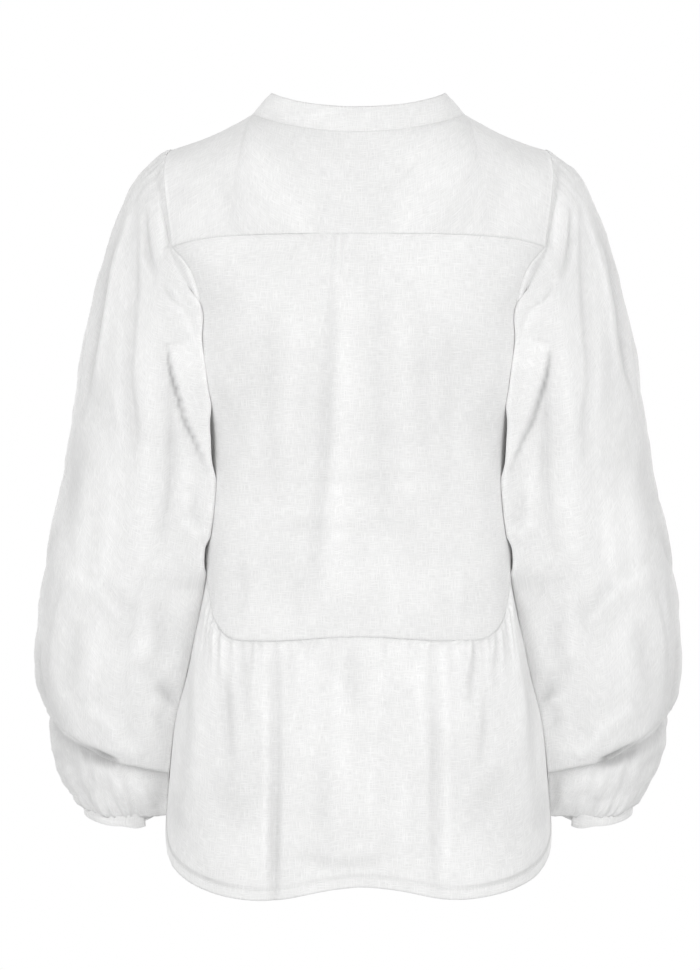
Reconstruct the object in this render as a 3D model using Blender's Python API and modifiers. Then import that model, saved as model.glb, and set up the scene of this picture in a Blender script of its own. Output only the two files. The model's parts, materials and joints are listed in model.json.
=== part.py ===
"""A linen blouse, worn form with no wearer: band collar and V neck, back yoke over a gathered
bodice, balloon sleeves gathered at cap and cuff, and a gathered peplum with a shirt-tail hem.

The blouse hangs with +Z up and its front towards -Y. The origin is midway between the two points
where the collar meets the shoulder seams. Tables and sizes are in millimetres."""

import math

import bpy
import numpy as np

MM = 0.001

WALL = 1.2            # thickness of every cloth wall
YOKE_SEAM = 0.004     # as a share of the yoke's height
SIDE_SEAM = 0.45      # gap between front and back, at the shoulders and sides
GATHERED_SEAM = 0.8   # gap beside a gathered edge; at the side of the waist it is twice that
FOLDED_SEAM = 1.7     # gap where the two pieces meet at a sharp angle

NECK_WIDTH = 196.0    # between the two shoulder-neck points
NECK_BACK_DEPTH = 62.0
NECK_BACK_DROP = 20.0
NECK_BACK_CURVES = 0.9, 1.6   # powers of a cosine: how full its depth is, how round its drop
NECK_FRONT_DEPTH = 103.0
NECK_FRONT_DROP = 138.0
V_STRAIGHT = 0.86     # share of the V's drop that falls evenly
V_CURVES = 1.9, 0.85  # how far the V's sides bow out, how full its depth is
NECK_SHARE = 0.5      # the share of a panel's top edge that is neckline

SHOULDER_TIP_X = 172.0
SHOULDER_TIP_Z = -33.0
SHOULDER_TIP_Y = -4.0
SHOULDER_HOLLOW = 3.0  # how far the shoulder line sinks below a straight one
ARMHOLE_BOW = 8.0      # how far the upper armhole stands outside a straight line
ARMHOLE_BOW_POWER = 6  # how fast that fades away from the armhole
SHOULDER_TURN = 0.9, 0.7, 0.4  # how sharply the cloth turns down at the shoulder

YOKE_CENTRE_Z = -116.0
FRONT_CENTRE_Z = -162.0  # the same level in front, under the point of the V
YOKE_ARCH = 2.2        # how near its ends the yoke seam drops
CHEST_EDGE_Z = -127.0  # armhole height where the yoke seam ends
ARMPIT_Z = -213.0

BACK, FRONT = 1.0, -1.0

# Horizontal sections of the body, from the chest down to the hem. Squareness is 2 for an ellipse
# and more for a squarer oval: the back is flat across the shoulder blades.
BODY_HALF_WIDTH, BODY_BACK, BODY_FRONT, BACK_SQUARENESS, FRONT_SQUARENESS = 1, 2, 3, 4, 5
BODY = np.array([
    # height, half width, back depth, front depth, back squareness, front squareness
    (-70.0, 214.0, 92.0, 74.0, 2.8, 2.35),
    (-112.0, 200.0, 100.0, 92.0, 2.9, 2.35),
    (-140.0, 180.0, 105.0, 106.0, 3.0, 2.35),
    (-163.0, 163.0, 108.0, 116.0, 3.0, 2.35),
    (-181.0, 153.0, 109.0, 122.0, 3.0, 2.35),
    (-213.0, 150.0, 108.0, 127.0, 2.9, 2.35),
    (-250.0, 143.0, 103.0, 126.0, 2.7, 2.35),
    (-290.0, 133.0, 96.0, 117.0, 2.5, 2.35),
    (-330.0, 130.5, 90.0, 108.0, 2.4, 2.35),
    (-370.0, 134.0, 88.0, 103.0, 2.35, 2.35),
    (-405.0, 140.0, 90.0, 104.0, 2.35, 2.35),
    (-440.0, 143.0, 94.0, 107.0, 2.35, 2.35),
    (-463.0, 147.0, 98.0, 111.0, 2.35, 2.35),
    (-520.0, 159.0, 106.0, 118.0, 2.35, 2.35),
    (-565.0, 169.5, 112.0, 123.0, 2.35, 2.35),
    (-617.0, 175.0, 117.0, 127.0, 2.35, 2.35),
    (-662.0, 178.5, 120.0, 129.0, 2.35, 2.35),
    (-730.0, 181.0, 122.0, 131.0, 2.35, 2.35),
])

# The armhole below the chest: how far the back and front panels reach sideways.
ARMHOLE = np.array([
    # height, back edge, front edge
    (-127.0, 170.0, 157.0),
    (-140.0, 158.0, 148.0),
    (-163.0, 147.5, 142.0),
    (-181.0, 144.0, 141.0),
    (-197.0, 145.0, 143.5),
    (-213.0, 150.0, 150.0),
])

# Heights of the waist seam and of the hem, from the centre line (0) round to the side seam (1).
AROUND = np.array([
    # around, waist seam, hem
    (0.00, -482.0, -710.0),
    (0.30, -486.0, -718.0),
    (0.52, -482.0, -710.5),
    (0.72, -456.0, -695.0),
    (0.85, -430.0, -679.0),
    (0.94, -411.0, -662.0),
    (1.00, -405.0, -655.0),
])

# Sections of the left sleeve, from just past the armhole down to the cuff. Lean is how far its
# cloth rests against the body's back beside the underarm, from 0 to 1.
SLEEVE = np.array([
    # outer x, outer z, inner x, inner z, middle y, half depth, squareness, lean
    (188.0, -43.0, 156.0, -218.0, -3.0, 62.0, 2.1, 0.4),
    (203.0, -54.0, 156.0, -224.0, -3.0, 67.0, 2.15, 0.7),
    (215.5, -75.0, 150.0, -231.0, -4.0, 70.0, 2.2, 0.85),
    (226.5, -102.0, 142.0, -240.0, -4.0, 72.0, 2.3, 0.85),
    (236.5, -132.0, 135.0, -252.0, -5.0, 73.0, 2.4, 0.85),
    (247.0, -172.0, 131.0, -268.0, -6.0, 73.0, 2.4, 0.8),
    (256.0, -215.0, 132.0, -290.0, -10.0, 72.0, 2.3, 0.6),
    (262.5, -258.0, 133.0, -315.0, -18.0, 71.0, 2.2, 0.4),
    (270.0, -302.0, 131.0, -345.0, -26.0, 70.0, 2.2, 0.4),
    (277.5, -345.0, 133.0, -378.0, -28.0, 70.0, 2.2, 0.45),
    (289.0, -390.0, 137.0, -412.0, -29.0, 71.0, 2.2, 0.5),
    (296.0, -440.0, 143.0, -455.0, -32.0, 73.0, 2.2, 0.5),
    (301.5, -488.0, 150.0, -497.0, -37.0, 75.0, 2.2, 0.5),
    (303.5, -522.0, 158.0, -538.0, -42.0, 76.0, 2.2, 0.4),
    (301.0, -552.0, 166.0, -580.0, -46.0, 74.0, 2.2, 0.2),
    (295.0, -576.0, 171.0, -601.0, -49.0, 61.0, 2.15, 0.0),
    (285.0, -605.0, 174.0, -618.0, -51.0, 52.0, 2.1, 0.0),
    (271.0, -629.0, 177.0, -630.0, -52.0, 42.0, 2.05, 0.0),
    (258.0, -646.0, 179.0, -638.5, -52.0, 36.0, 2.0, 0.0),
])
SLEEVE_LEAN = 7
CUFF_HEIGHT = 13.0
JOINED = 0.0, 0.62, 0.93   # how far its first rows lie from the armhole to their sections
SLEEVE_GAP, SLEEVE_GAP_GROWTH, GROWING_ROWS = 1.5, 0.5, 3.0  # how far it clears the body
CLEARING_FADE, CLEARING_SOFTNESS = 50.0, 4.0  # how gradually it starts, downwards and sideways

# Gathers: depth, and how far they reach, in rows of a sleeve or as a share of a panel's height.
CAP_GATHER_DEPTH, CAP_GATHER_ROW, CAP_GATHER_ROWS = 1.6, 1.5, 2.0
CUFF_GATHER_DEPTH, CUFF_GATHER_ROWS = 2.2, 1.6
YOKE_GATHER_DEPTH, YOKE_GATHER_REACH, YOKE_GATHER_HALF_WIDTH = 1.5, 0.16, 38.0
WAIST_GATHER_DEPTH, WAIST_GATHER_REACH = 1.3, 0.3
PEPLUM_FULLNESS = 2.5      # how far the peplum's middle stands out from its edges
FOLD_ENDS = 0.6            # how fully a fold keeps its height towards its ends

# The neck band, from the front point of the V (0) over the shoulder (1) to the centre back (2).
BAND = np.array([
    # place, lean inwards, lean back, rise, gap at the seam
    (0.00, 0.0, 4.0, 38.0, 0.5),
    (0.22, 17.0, 4.0, 19.0, 0.5),
    (0.50, 20.5, 3.0, 15.5, 0.8),
    (0.80, 20.0, 1.5, 17.0, 1.7),
    (1.00, 18.0, -1.0, 19.5, 1.6),
    (1.40, 12.0, -8.0, 21.5, 1.1),
    (2.00, 0.0, -12.0, 23.5, 1.1),
])

# Long folds as straight lines seen from behind: a ridge is high, a trough is low.
BACK_FOLDS = np.array([
    # top x, top z, bottom x, bottom z, height, width
    (25.0, -135.0, 37.0, -430.0, -3.2, 8.0),
    (4.0, -150.0, 13.0, -400.0, 3.0, 9.0),
    (-17.0, -160.0, -26.0, -380.0, -2.4, 9.0),
    (-45.0, -180.0, -60.0, -420.0, 1.6, 14.0),
    (62.0, -190.0, 70.0, -430.0, 1.6, 14.0),
])
PEPLUM_FOLDS = np.array([
    # top x, top z, bottom x, bottom z, height, width
    (82.0, -478.0, 82.0, -730.0, 4.0, 8.0),
    (-80.0, -478.0, -80.0, -730.0, 4.0, 8.0),
    (66.0, -486.0, 68.0, -740.0, -4.0, 7.0),
    (-65.0, -486.0, -67.0, -740.0, -4.0, 7.0),
    (121.0, -470.0, 113.0, -620.0, -3.0, 8.0),
    (-120.0, -470.0, -113.0, -620.0, -3.0, 8.0),
    (54.0, -490.0, 62.0, -580.0, 3.0, 7.0),
    (-57.0, -490.0, -64.0, -580.0, 3.0, 7.0),
    (18.0, -490.0, 16.0, -620.0, 2.5, 10.0),
    (7.0, -500.0, 3.0, -600.0, -2.5, 8.0),
    (-28.0, -490.0, -20.0, -640.0, 2.0, 10.0),
])
SLEEVE_FOLDS = np.array([
    # top x, top z, bottom x, bottom z, height, width
    (209.0, -130.0, 212.0, -330.0, -3.5, 8.0),
    (226.0, -230.0, 222.0, -330.0, 3.0, 12.0),
    (177.0, -225.0, 176.0, -420.0, -5.0, 8.0),
    (165.0, -215.0, 150.0, -335.0, 5.0, 12.0),
    (247.0, -110.0, 262.0, -280.0, -2.5, 6.0),
])
FRONT_FOLDS = np.array([
    # top x, top z, bottom x, bottom z, height, width
    (48.0, -150.0, 55.0, -440.0, -2.6, 11.0),
    (-52.0, -170.0, -50.0, -430.0, -2.2, 12.0),
    (12.0, -200.0, 6.0, -460.0, 2.6, 10.0),
    (-20.0, -240.0, -14.0, -450.0, -2.0, 9.0),
])

# Steps of the meshes.
UPPER_ROWS, ARMPIT_ROWS, BACK_ROWS, FRONT_ROWS = 5, 5, 11, 8
CENTRE_COLUMNS, CENTRE_SHARE, SIDE_COLUMNS = 20, 0.135, 13
PLAIN_COLUMNS, PEPLUM_BACK_COLUMNS, PEPLUM_FRONT_COLUMNS = 32, 60, 44
PEPLUM_ROWS, PEPLUM_ROW_POWER = 7, 1.25
ARM_SPLIT = 2          # sleeve columns to each row of the armhole


def smooth(keys, values, at):
    """A smooth curve through values at rising keys."""
    slopes = np.gradient(values, keys)
    i = int(np.clip(np.searchsorted(keys, at) - 1, 0, len(keys) - 2))
    step = keys[i + 1] - keys[i]
    t = float(np.clip((at - keys[i]) / step, 0.0, 1.0))
    return (
        values[i] * (1 + 2 * t) * (1 - t) ** 2
        + values[i + 1] * t * t * (3 - 2 * t)
        + step * (slopes[i] * t * (1 - t) ** 2 - slopes[i + 1] * t * t * (1 - t))
    )


def along(table, column, at):
    """One column of a table as a smooth curve through its rows; the first column is the place."""
    order = 1 if table[-1, 0] > table[0, 0] else -1
    return smooth(table[::order, 0], table[::order, column], at)


def fold_height(folds, x, z):
    """How far the folds of a table lift the cloth at a place seen from behind."""
    height = 0.0
    for top_x, top_z, bottom_x, bottom_z, lift, width in folds:
        down = (top_z - z) / (top_z - bottom_z)
        if 0.0 < down < 1.0:
            aside = (x - top_x - (bottom_x - top_x) * down) / width
            height += lift * math.exp(-aside * aside) * math.sin(math.pi * down) ** FOLD_ENDS
    return height


def squareness(face, height):
    """How square the body's section is behind or in front."""
    return along(BODY, BACK_SQUARENESS if face == BACK else FRONT_SQUARENESS, height)


def body_point(face, angle, height):
    """A point on the body's surface, on the left half, at an angle round from the centre line."""
    power = 2.0 / squareness(face, height)
    depth = along(BODY, BODY_BACK if face == BACK else BODY_FRONT, height)
    x = along(BODY, BODY_HALF_WIDTH, height) * math.sin(angle) ** power
    return np.array([x, face * depth * max(math.cos(angle), 0.0) ** power, height])


def body_side(y, height):
    """How far the body reaches sideways at a depth and a height."""
    face = BACK if y > 0 else FRONT
    square = squareness(face, height)
    share = min(abs(y) / along(BODY, BODY_BACK if face == BACK else BODY_FRONT, height), 1.0)
    return along(BODY, BODY_HALF_WIDTH, height) * (1.0 - share**square) ** (1.0 / square)


def edge_angle(face, height):
    """The angle at which the panel ends at a height: at the armhole, or below it at the side."""
    if height <= ARMPIT_Z:
        return math.pi / 2
    reach = along(ARMHOLE, 1 if face == BACK else 2, height)
    share = min(reach / along(BODY, BODY_HALF_WIDTH, height), 1.0)
    return math.asin(share ** (squareness(face, height) / 2.0))


def neck_point(face, u):
    """The neck seam, from the centre line (0) to the shoulder-neck point (1)."""
    half = NECK_WIDTH / 2
    if face == BACK:
        fullness, roundness = NECK_BACK_CURVES
        turn = u * math.pi / 2
        y = NECK_BACK_DEPTH * math.cos(turn) ** fullness
        return np.array([half * math.sin(turn), y, -NECK_BACK_DROP * math.cos(turn) ** roundness])
    bow, fullness = V_CURVES
    down = 1.0 - u
    x = half * (1.0 - down**bow)
    y = -NECK_FRONT_DEPTH * math.sin(down * math.pi / 2) ** fullness
    z = -NECK_FRONT_DROP * (V_STRAIGHT * down + (1.0 - V_STRAIGHT) * down * down)
    return np.array([x, y, z])


def top_point(face, u):
    """The top edge of a panel: the neckline, then the shoulder seam out to its tip."""
    if u <= NECK_SHARE:
        return neck_point(face, u / NECK_SHARE)
    out = (u - NECK_SHARE) / (1.0 - NECK_SHARE)
    x = NECK_WIDTH / 2 + out * (SHOULDER_TIP_X - NECK_WIDTH / 2)
    z = out * SHOULDER_TIP_Z - SHOULDER_HOLLOW * math.sin(out * math.pi)
    return np.array([x, out * SHOULDER_TIP_Y, z])


def chest_point(face, u):
    """The level of the yoke seam, from the centre line (0) to the armhole (1)."""
    centre = YOKE_CENTRE_Z if face == BACK else FRONT_CENTRE_Z
    height = centre + (CHEST_EDGE_Z - centre) * u**YOKE_ARCH
    return body_point(face, u * edge_angle(face, CHEST_EDGE_Z), height)


def upper_point(face, u, v):
    """The panel between its top edge (v 0) and the chest level (v 1), rounded over the shoulder."""
    top = top_point(face, u)
    chest = chest_point(face, u)
    sharpest, growth, extra = SHOULDER_TURN
    turn = 1.0 + sharpest * u**growth
    bow = ARMHOLE_BOW * u**ARMHOLE_BOW_POWER * math.sin(v * math.pi)
    x = top[0] + (chest[0] - top[0]) * v + bow
    y = top[1] + (chest[1] - top[1]) * (1.0 - (1.0 - v) ** (turn + extra))
    z = top[2] + (chest[2] - top[2]) * v**turn
    return np.array([x, y, z])


def lower_point(face, u, v):
    """The panel between the chest level (v 0) and the waist seam (v 1)."""
    start = chest_point(face, u)[2]
    edge = CHEST_EDGE_Z + (along(AROUND, 1, 1.0) - CHEST_EDGE_Z) * v
    height = start + (along(AROUND, 1, u) - start) * v
    return body_point(face, u * edge_angle(face, edge), height)


def peplum_point(face, u, v):
    """The peplum between the waist seam (v 0) and the hem (v 1)."""
    start = along(AROUND, 1, u) - GATHERED_SEAM * (1.0 + u)
    height = start + (along(AROUND, 2, u) - start) * v
    return body_point(face, u * math.pi / 2, height)


def armhole_point(face, t):
    """The armhole of the left half, from the shoulder tip (0) to the underarm (1)."""
    upper = UPPER_ROWS / (UPPER_ROWS + ARMPIT_ROWS)
    if t <= upper:
        return upper_point(face, 1.0, t / upper)
    share = (CHEST_EDGE_Z - ARMPIT_Z) / (CHEST_EDGE_Z - along(AROUND, 1, 1.0))
    return lower_point(face, 1.0, share * (t - upper) / (1.0 - upper))


def clear_of_body(point, gap):
    """Moves a point of the sleeve outwards until it clears the body by a gap."""
    x, y, z = point
    below_waist = float(np.clip((along(AROUND, 1, 1.0) - z) / CLEARING_FADE, 0.0, 1.0))
    short = body_side(y, z) + gap + PEPLUM_FULLNESS * below_waist - x
    below_chest = float(np.clip((CHEST_EDGE_Z - z) / CLEARING_FADE, 0.0, 1.0))
    push = 0.5 * (short + math.hypot(short, CLEARING_SOFTNESS)) * below_chest
    return np.array([x + push, y, z])


def lean_on_body(point, row, t):
    """Draws a point of the sleeve's inner back towards the body, as its cloth hangs there."""
    weight = SLEEVE[row - 1, SLEEVE_LEAN] * max(-math.sin(2.0 * math.pi * t), 0.0) * (t < 1.0)
    spare = max(point[0] - body_side(point[1], point[2]), 0.0)
    return point - np.array([spare * weight, 0.0, 0.0])


def sleeve_ring(row, t):
    """A point of the sleeve's section at a row of its table; t runs 0 to 1 at the underarm and
    on to 2 in front."""
    keys = np.arange(len(SLEEVE))
    out_x, out_z, in_x, in_z, middle, depth, square = (
        smooth(keys, SLEEVE[:, i], row) for i in range(7)
    )
    c, s = math.cos(math.pi * t), math.sin(math.pi * t)
    across = math.copysign(abs(c) ** (2 / square), c)
    through = math.copysign(abs(s) ** (2 / square), s)
    return np.array([
        (out_x + in_x) / 2 + across * (out_x - in_x) / 2,
        middle + through * depth,
        (out_z + in_z) / 2 + across * (out_z - in_z) / 2,
    ])


def sleeve_point(row, t):
    """A point of the left sleeve: row 0 is the armhole, row 1 the first of the table."""
    face, share = (BACK, t) if t <= 1.0 else (FRONT, 2.0 - t)
    steps = UPPER_ROWS + ARMPIT_ROWS
    start = int(min(share * steps, steps - 1))
    low, high = armhole_point(face, start / steps), armhole_point(face, (start + 1) / steps)
    armhole = low + (high - low) * (share * steps - start)
    if row == 0:
        ahead = sleeve_ring(0, t) - armhole
        seam = outward(armhole, (0.0, 0.0)) * FOLDED_SEAM * share**0.5
        return armhole + ahead / np.linalg.norm(ahead) * SIDE_SEAM + seam
    joined = JOINED[row] if row < len(JOINED) else 1.0
    point = armhole + (sleeve_ring(row - 1, t) - armhole) * joined
    point = lean_on_body(point, row, t)
    return clear_of_body(point, SLEEVE_GAP + SLEEVE_GAP_GROWTH * min(row, GROWING_ROWS))


def outward(point, centre):
    """The level direction from a centre line to a point."""
    away = np.array([point[0] - centre[0], point[1] - centre[1], 0.0])
    return away / np.linalg.norm(away)


def columns(count):
    """Even places across a whole panel, from -1 to 1."""
    return [2.0 * i / count - 1.0 for i in range(count + 1)]


def mirrored(point, side):
    """The point, or its mirror image on the right half."""
    return np.array([side * point[0], point[1], point[2]])


def panel(face, surface, places, steps, folds, ripple=None):
    """Rows of points of a panel that spans both halves."""
    rows = []
    for v in steps:
        row = []
        for i, u in enumerate(places):
            point = mirrored(surface(face, abs(u), v), math.copysign(1.0, u))
            point[1] += face * SIDE_SEAM / 2
            lift = fold_height(folds, point[0], point[2])
            if ripple:
                lift += ripple(i, point, v)
            row.append(point + outward(point, (0.0, 0.0)) * lift)
        rows.append(row)
    return rows


def yoke_gathers(i, point, v):
    """Small waves at the top of the back bodice, near its centre."""
    near = max(1.0 - (point[0] / YOKE_GATHER_HALF_WIDTH) ** 2, 0.0) ** 0.5
    return (-1.0) ** i * YOKE_GATHER_DEPTH * near * math.exp(-v / YOKE_GATHER_REACH)


def waist_gathers(i, point, v):
    """Small waves under the waist seam, over fullness that stands out from it."""
    wave = (-1.0) ** i * WAIST_GATHER_DEPTH * math.exp(-v / WAIST_GATHER_REACH)
    return wave + PEPLUM_FULLNESS * math.sin(math.pi * v)


def add_cloth(name, rows, closed=False):
    """Makes a wall of cloth through rows of points; closed rows run round a tube."""
    count = len(rows[0])
    around = count if closed else count - 1
    points = [tuple(point * MM) for row in rows for point in row]
    faces = []
    for start in range(0, count * (len(rows) - 1), count):
        for i in range(around):
            ahead = (i + 1) % count
            faces.append((start + i, start + ahead, start + count + ahead, start + count + i))
    mesh = bpy.data.meshes.new(name)
    mesh.from_pydata(points, [], faces)
    mesh.update()
    mesh.shade_smooth()
    piece = bpy.data.objects.new(name, mesh)
    collection.objects.link(piece)
    wall = piece.modifiers.new("wall", "SOLIDIFY")
    wall.thickness = WALL * MM
    wall.offset = 0.0
    mesh.materials.append(linen(name))
    return piece


def linen(name):
    """Undyed white linen, plain and dull."""
    material = bpy.data.materials.new(name + "_linen")
    material.use_nodes = True
    shader = material.node_tree.nodes["Principled BSDF"]
    shader.inputs["Base Color"].default_value = (0.86, 0.86, 0.85, 1.0)
    shader.inputs["Roughness"].default_value = 0.9
    shader.inputs["Metallic"].default_value = 0.0
    return material


def neck_band():
    """The collar: a band that stands on the back neck seam and lies flat round the V in front."""
    count = PLAIN_COLUMNS // 2
    places = [2.0 * i / count for i in range(count + 1)]
    half = []
    for place in places:
        base = neck_point(FRONT, place) if place <= 1.0 else neck_point(BACK, 2.0 - place)
        lean, back, rise, gap = (along(BAND, i, place) for i in range(1, 5))
        width = np.array([-lean, back, rise])
        step = width / np.linalg.norm(width)
        half.append((base + step * gap, base + width * 0.5, base + width))
    loop = [[mirrored(p, 1.0) for p in column] for column in half]
    loop += [[mirrored(p, -1.0) for p in column] for column in half[-2:0:-1]]
    return [[column[i] for column in loop] for i in range(3)]


def back_yoke():
    """The back yoke, from the neck and shoulder seams to the arched seam."""
    steps = [i / UPPER_ROWS for i in range(UPPER_ROWS + 1)]
    steps[-1] = 1.0 - YOKE_SEAM
    return panel(BACK, upper_point, columns(PLAIN_COLUMNS), steps, BACK_FOLDS[:0])


def lower_steps(side_rows):
    """Steps down a panel from the chest, with a row exactly at the underarm."""
    share = (CHEST_EDGE_Z - ARMPIT_Z) / (CHEST_EDGE_Z - along(AROUND, 1, 1.0))
    above = [share * i / ARMPIT_ROWS for i in range(ARMPIT_ROWS)]
    return above + [share + (1.0 - share) * i / side_rows for i in range(side_rows + 1)]


def back_bodice():
    """The back under the yoke, with gathers at its centre."""
    middle = [CENTRE_SHARE * u for u in columns(CENTRE_COLUMNS)]
    step = (1.0 - CENTRE_SHARE) / SIDE_COLUMNS
    outer = [CENTRE_SHARE + step * i for i in range(1, SIDE_COLUMNS + 1)]
    places = [-u for u in reversed(outer)] + middle + outer
    return panel(BACK, lower_point, places, lower_steps(BACK_ROWS), BACK_FOLDS, yoke_gathers)


def front_bodice():
    """The front in one piece, from the V neck and shoulder seams to the waist seam."""
    places = columns(PLAIN_COLUMNS)
    upper = [i / UPPER_ROWS for i in range(UPPER_ROWS)]
    rows = panel(FRONT, upper_point, places, upper, FRONT_FOLDS)
    rows += panel(FRONT, lower_point, places, lower_steps(FRONT_ROWS), FRONT_FOLDS)
    return rows


def peplum(face, count):
    """Half of the peplum, gathered at the waist seam."""
    steps = [(i / PEPLUM_ROWS) ** PEPLUM_ROW_POWER for i in range(PEPLUM_ROWS + 1)]
    return panel(face, peplum_point, columns(count), steps, PEPLUM_FOLDS, waist_gathers)


def sleeve(side):
    """A balloon sleeve, gathered at the top of its cap and into the cuff."""
    count = 2 * (UPPER_ROWS + ARMPIT_ROWS) * ARM_SPLIT
    rows = [[sleeve_point(0, 2.0 * i / count) for i in range(count)]]
    for row in range(1, len(SLEEVE) + 1):
        middle = (sleeve_ring(row - 1, 0.0) + sleeve_ring(row - 1, 1.0)) / 2
        ring = []
        for i in range(count):
            point = sleeve_point(row, 2.0 * i / count)
            ring.append(point + outward(point, middle) * sleeve_lift(row, i, count, point))
        rows.append(ring)
    return [[mirrored(point, side) for point in ring] for ring in rows]


def sleeve_lift(row, i, count, point):
    """How far a point of a sleeve stands out: folds behind, and gathers at the cap and the cuff."""
    turn = 2.0 * math.pi * i / count
    folds = fold_height(SLEEVE_FOLDS, point[0], point[2]) * max(math.sin(turn), 0.0) ** 0.5
    near_cap = math.exp(-(((row - CAP_GATHER_ROW) / CAP_GATHER_ROWS) ** 2))
    cap = CAP_GATHER_DEPTH * max(math.cos(turn), 0.0) ** 0.5 * near_cap
    end = CUFF_GATHER_DEPTH * math.exp((row - len(SLEEVE)) / CUFF_GATHER_ROWS)
    return folds + (-1.0) ** i * (cap + end)


def cuff(side):
    """The wrist band under the gathered end of a sleeve."""
    count = 2 * (UPPER_ROWS + ARMPIT_ROWS) * ARM_SPLIT
    end = len(SLEEVE) - 1.0
    across = sleeve_ring(end, 0.0) - sleeve_ring(end, 1.0)
    down = np.array([across[2], 0.0, -across[0]])
    down /= np.linalg.norm(down)
    return [
        [mirrored(sleeve_ring(end, 2.0 * i / count) + down * drop, side) for i in range(count)]
        for drop in (GATHERED_SEAM, CUFF_HEIGHT)
    ]


def build():
    """Makes every piece of the blouse."""
    add_cloth("neck_band", neck_band(), closed=True)
    add_cloth("back_yoke", back_yoke())
    add_cloth("back_bodice", back_bodice())
    add_cloth("front_bodice", front_bodice())
    add_cloth("peplum_back", peplum(BACK, PEPLUM_BACK_COLUMNS))
    add_cloth("peplum_front", peplum(FRONT, PEPLUM_FRONT_COLUMNS))
    for name, side in (("left", 1.0), ("right", -1.0)):
        add_cloth("sleeve_" + name, sleeve(side), closed=True)
        add_cloth("cuff_" + name, cuff(side), closed=True)


for old in list(bpy.data.objects):
    bpy.data.objects.remove(old)
collection = bpy.data.collections.new("linen_blouse")
bpy.context.scene.collection.children.link(collection)
build()
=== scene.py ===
"""The looks of the linen blouse: every piece of cloth as a thin shell on its solid's form, with its
creases, gathers, seams, hems and sewing, and the linen itself.

Sizes are in millimetres in the part's own frame: +Z up, the front towards -Y, the origin midway
between the points where the collar meets the shoulder seams. The photograph looks from behind, so
a crease is placed as the camera behind sees it, by x and z in the plane through the origin."""

import json
from math import pi

import bpy
import numpy as np
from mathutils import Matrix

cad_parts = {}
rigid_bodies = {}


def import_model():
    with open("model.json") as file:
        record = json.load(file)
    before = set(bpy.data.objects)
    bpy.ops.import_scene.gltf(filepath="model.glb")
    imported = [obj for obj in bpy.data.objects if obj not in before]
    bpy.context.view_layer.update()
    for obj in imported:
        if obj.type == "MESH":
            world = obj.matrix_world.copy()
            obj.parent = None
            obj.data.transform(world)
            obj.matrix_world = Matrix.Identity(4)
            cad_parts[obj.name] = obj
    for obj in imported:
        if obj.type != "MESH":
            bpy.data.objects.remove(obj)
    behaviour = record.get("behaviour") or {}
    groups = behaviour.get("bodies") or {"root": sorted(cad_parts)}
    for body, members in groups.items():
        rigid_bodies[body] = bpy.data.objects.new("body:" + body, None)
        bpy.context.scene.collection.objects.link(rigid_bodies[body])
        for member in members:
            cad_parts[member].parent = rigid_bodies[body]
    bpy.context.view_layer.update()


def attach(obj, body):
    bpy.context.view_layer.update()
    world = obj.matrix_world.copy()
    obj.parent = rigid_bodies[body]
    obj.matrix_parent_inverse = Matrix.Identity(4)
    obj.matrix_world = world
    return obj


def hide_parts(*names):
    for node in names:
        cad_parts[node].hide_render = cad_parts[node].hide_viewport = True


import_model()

MM = 0.001
CLOTH = 0.55           # one layer of linen
DOUBLE = 1.3           # collar and cuffs, two layers and their turnings
BACK, FRONT = 1.0, -1.0


def numbers(text):
    """A table of numbers, a row to each line; a line that starts with # names them."""
    lines = (line for line in text.splitlines() if line and line[0] != "#")
    return np.array([line.split() for line in lines], float)


def crease_rows(text):
    """A table of creases, one to a line: its height, its two widths and its route's points, whose
    second number is a depth below the origin."""
    lines = (line for line in text.splitlines() if line and line[0] != "#")
    rows = (np.array(line.replace(",", " ").split(), float) for line in lines)
    return [(*row[:3], row[3:].reshape(-1, 2) * (1, -1)) for row in rows]


# -------------------- camera and light

CAMERA_REACH = 4000.0  # from the origin's plane
CAMERA_X, CAMERA_Z = 7.9, -344.1
VIEW_HEIGHT = 902.1    # height of the photograph's frame at the origin's plane
SENSOR = 36.0
FLOOR_Z = -1150.0
BACKDROP_RADIUS = 25.0  # metres
AMBIENT = 0.875
DIFFUSE_BOUNCES = 10   # white cloth lights its own hollows
SOFT_BOX_SIZE = 2.0    # metres
SOFT_BOXES = (
    # name, place in metres, watts
    ("key", (2.1, 3.8, 0.6), 64.0),
    ("fill", (-2.2, 3.7, 0.2), 54.0),
    ("front_key", (-2.1, -3.8, 0.6), 64.0),
    ("front_fill", (2.2, -3.7, 0.2), 54.0),
)

# -------------------- the blouse's form

NECK_WIDTH = 196.0     # between the two shoulder-neck points
NECK_BACK_DEPTH = 62.0
NECK_BACK_DROP = 20.0
NECK_BACK_CURVES = 0.9, 1.6
NECK_FRONT_DEPTH = 103.0
NECK_FRONT_DROP = 138.0
V_STRAIGHT = 0.86
V_CURVES = 1.9, 0.85
NECK_SHARE = 0.5       # the share of a panel's top edge that is neckline
SHOULDER_TIP = 172.0, -4.0, -33.0
SHOULDER_HOLLOW = 3.0
ARMHOLE_BOW, ARMHOLE_BOW_POWER = 8.0, 6
SHOULDER_TURN = 0.9, 0.7, 0.4
YOKE_CENTRE_Z = -116.0
FRONT_CENTRE_Z = -162.0
YOKE_ARCH = 2.2
CHEST_EDGE_Z = -127.0
ARMPIT_Z = -213.0
ARMPIT_SHARE = 0.5     # how far round the armhole the chest level comes
UPRIGHT_POWER = 4      # below the chest the columns of a panel's grid stand upright, bar the outermost
UPRIGHT_BY = 0.25

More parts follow.
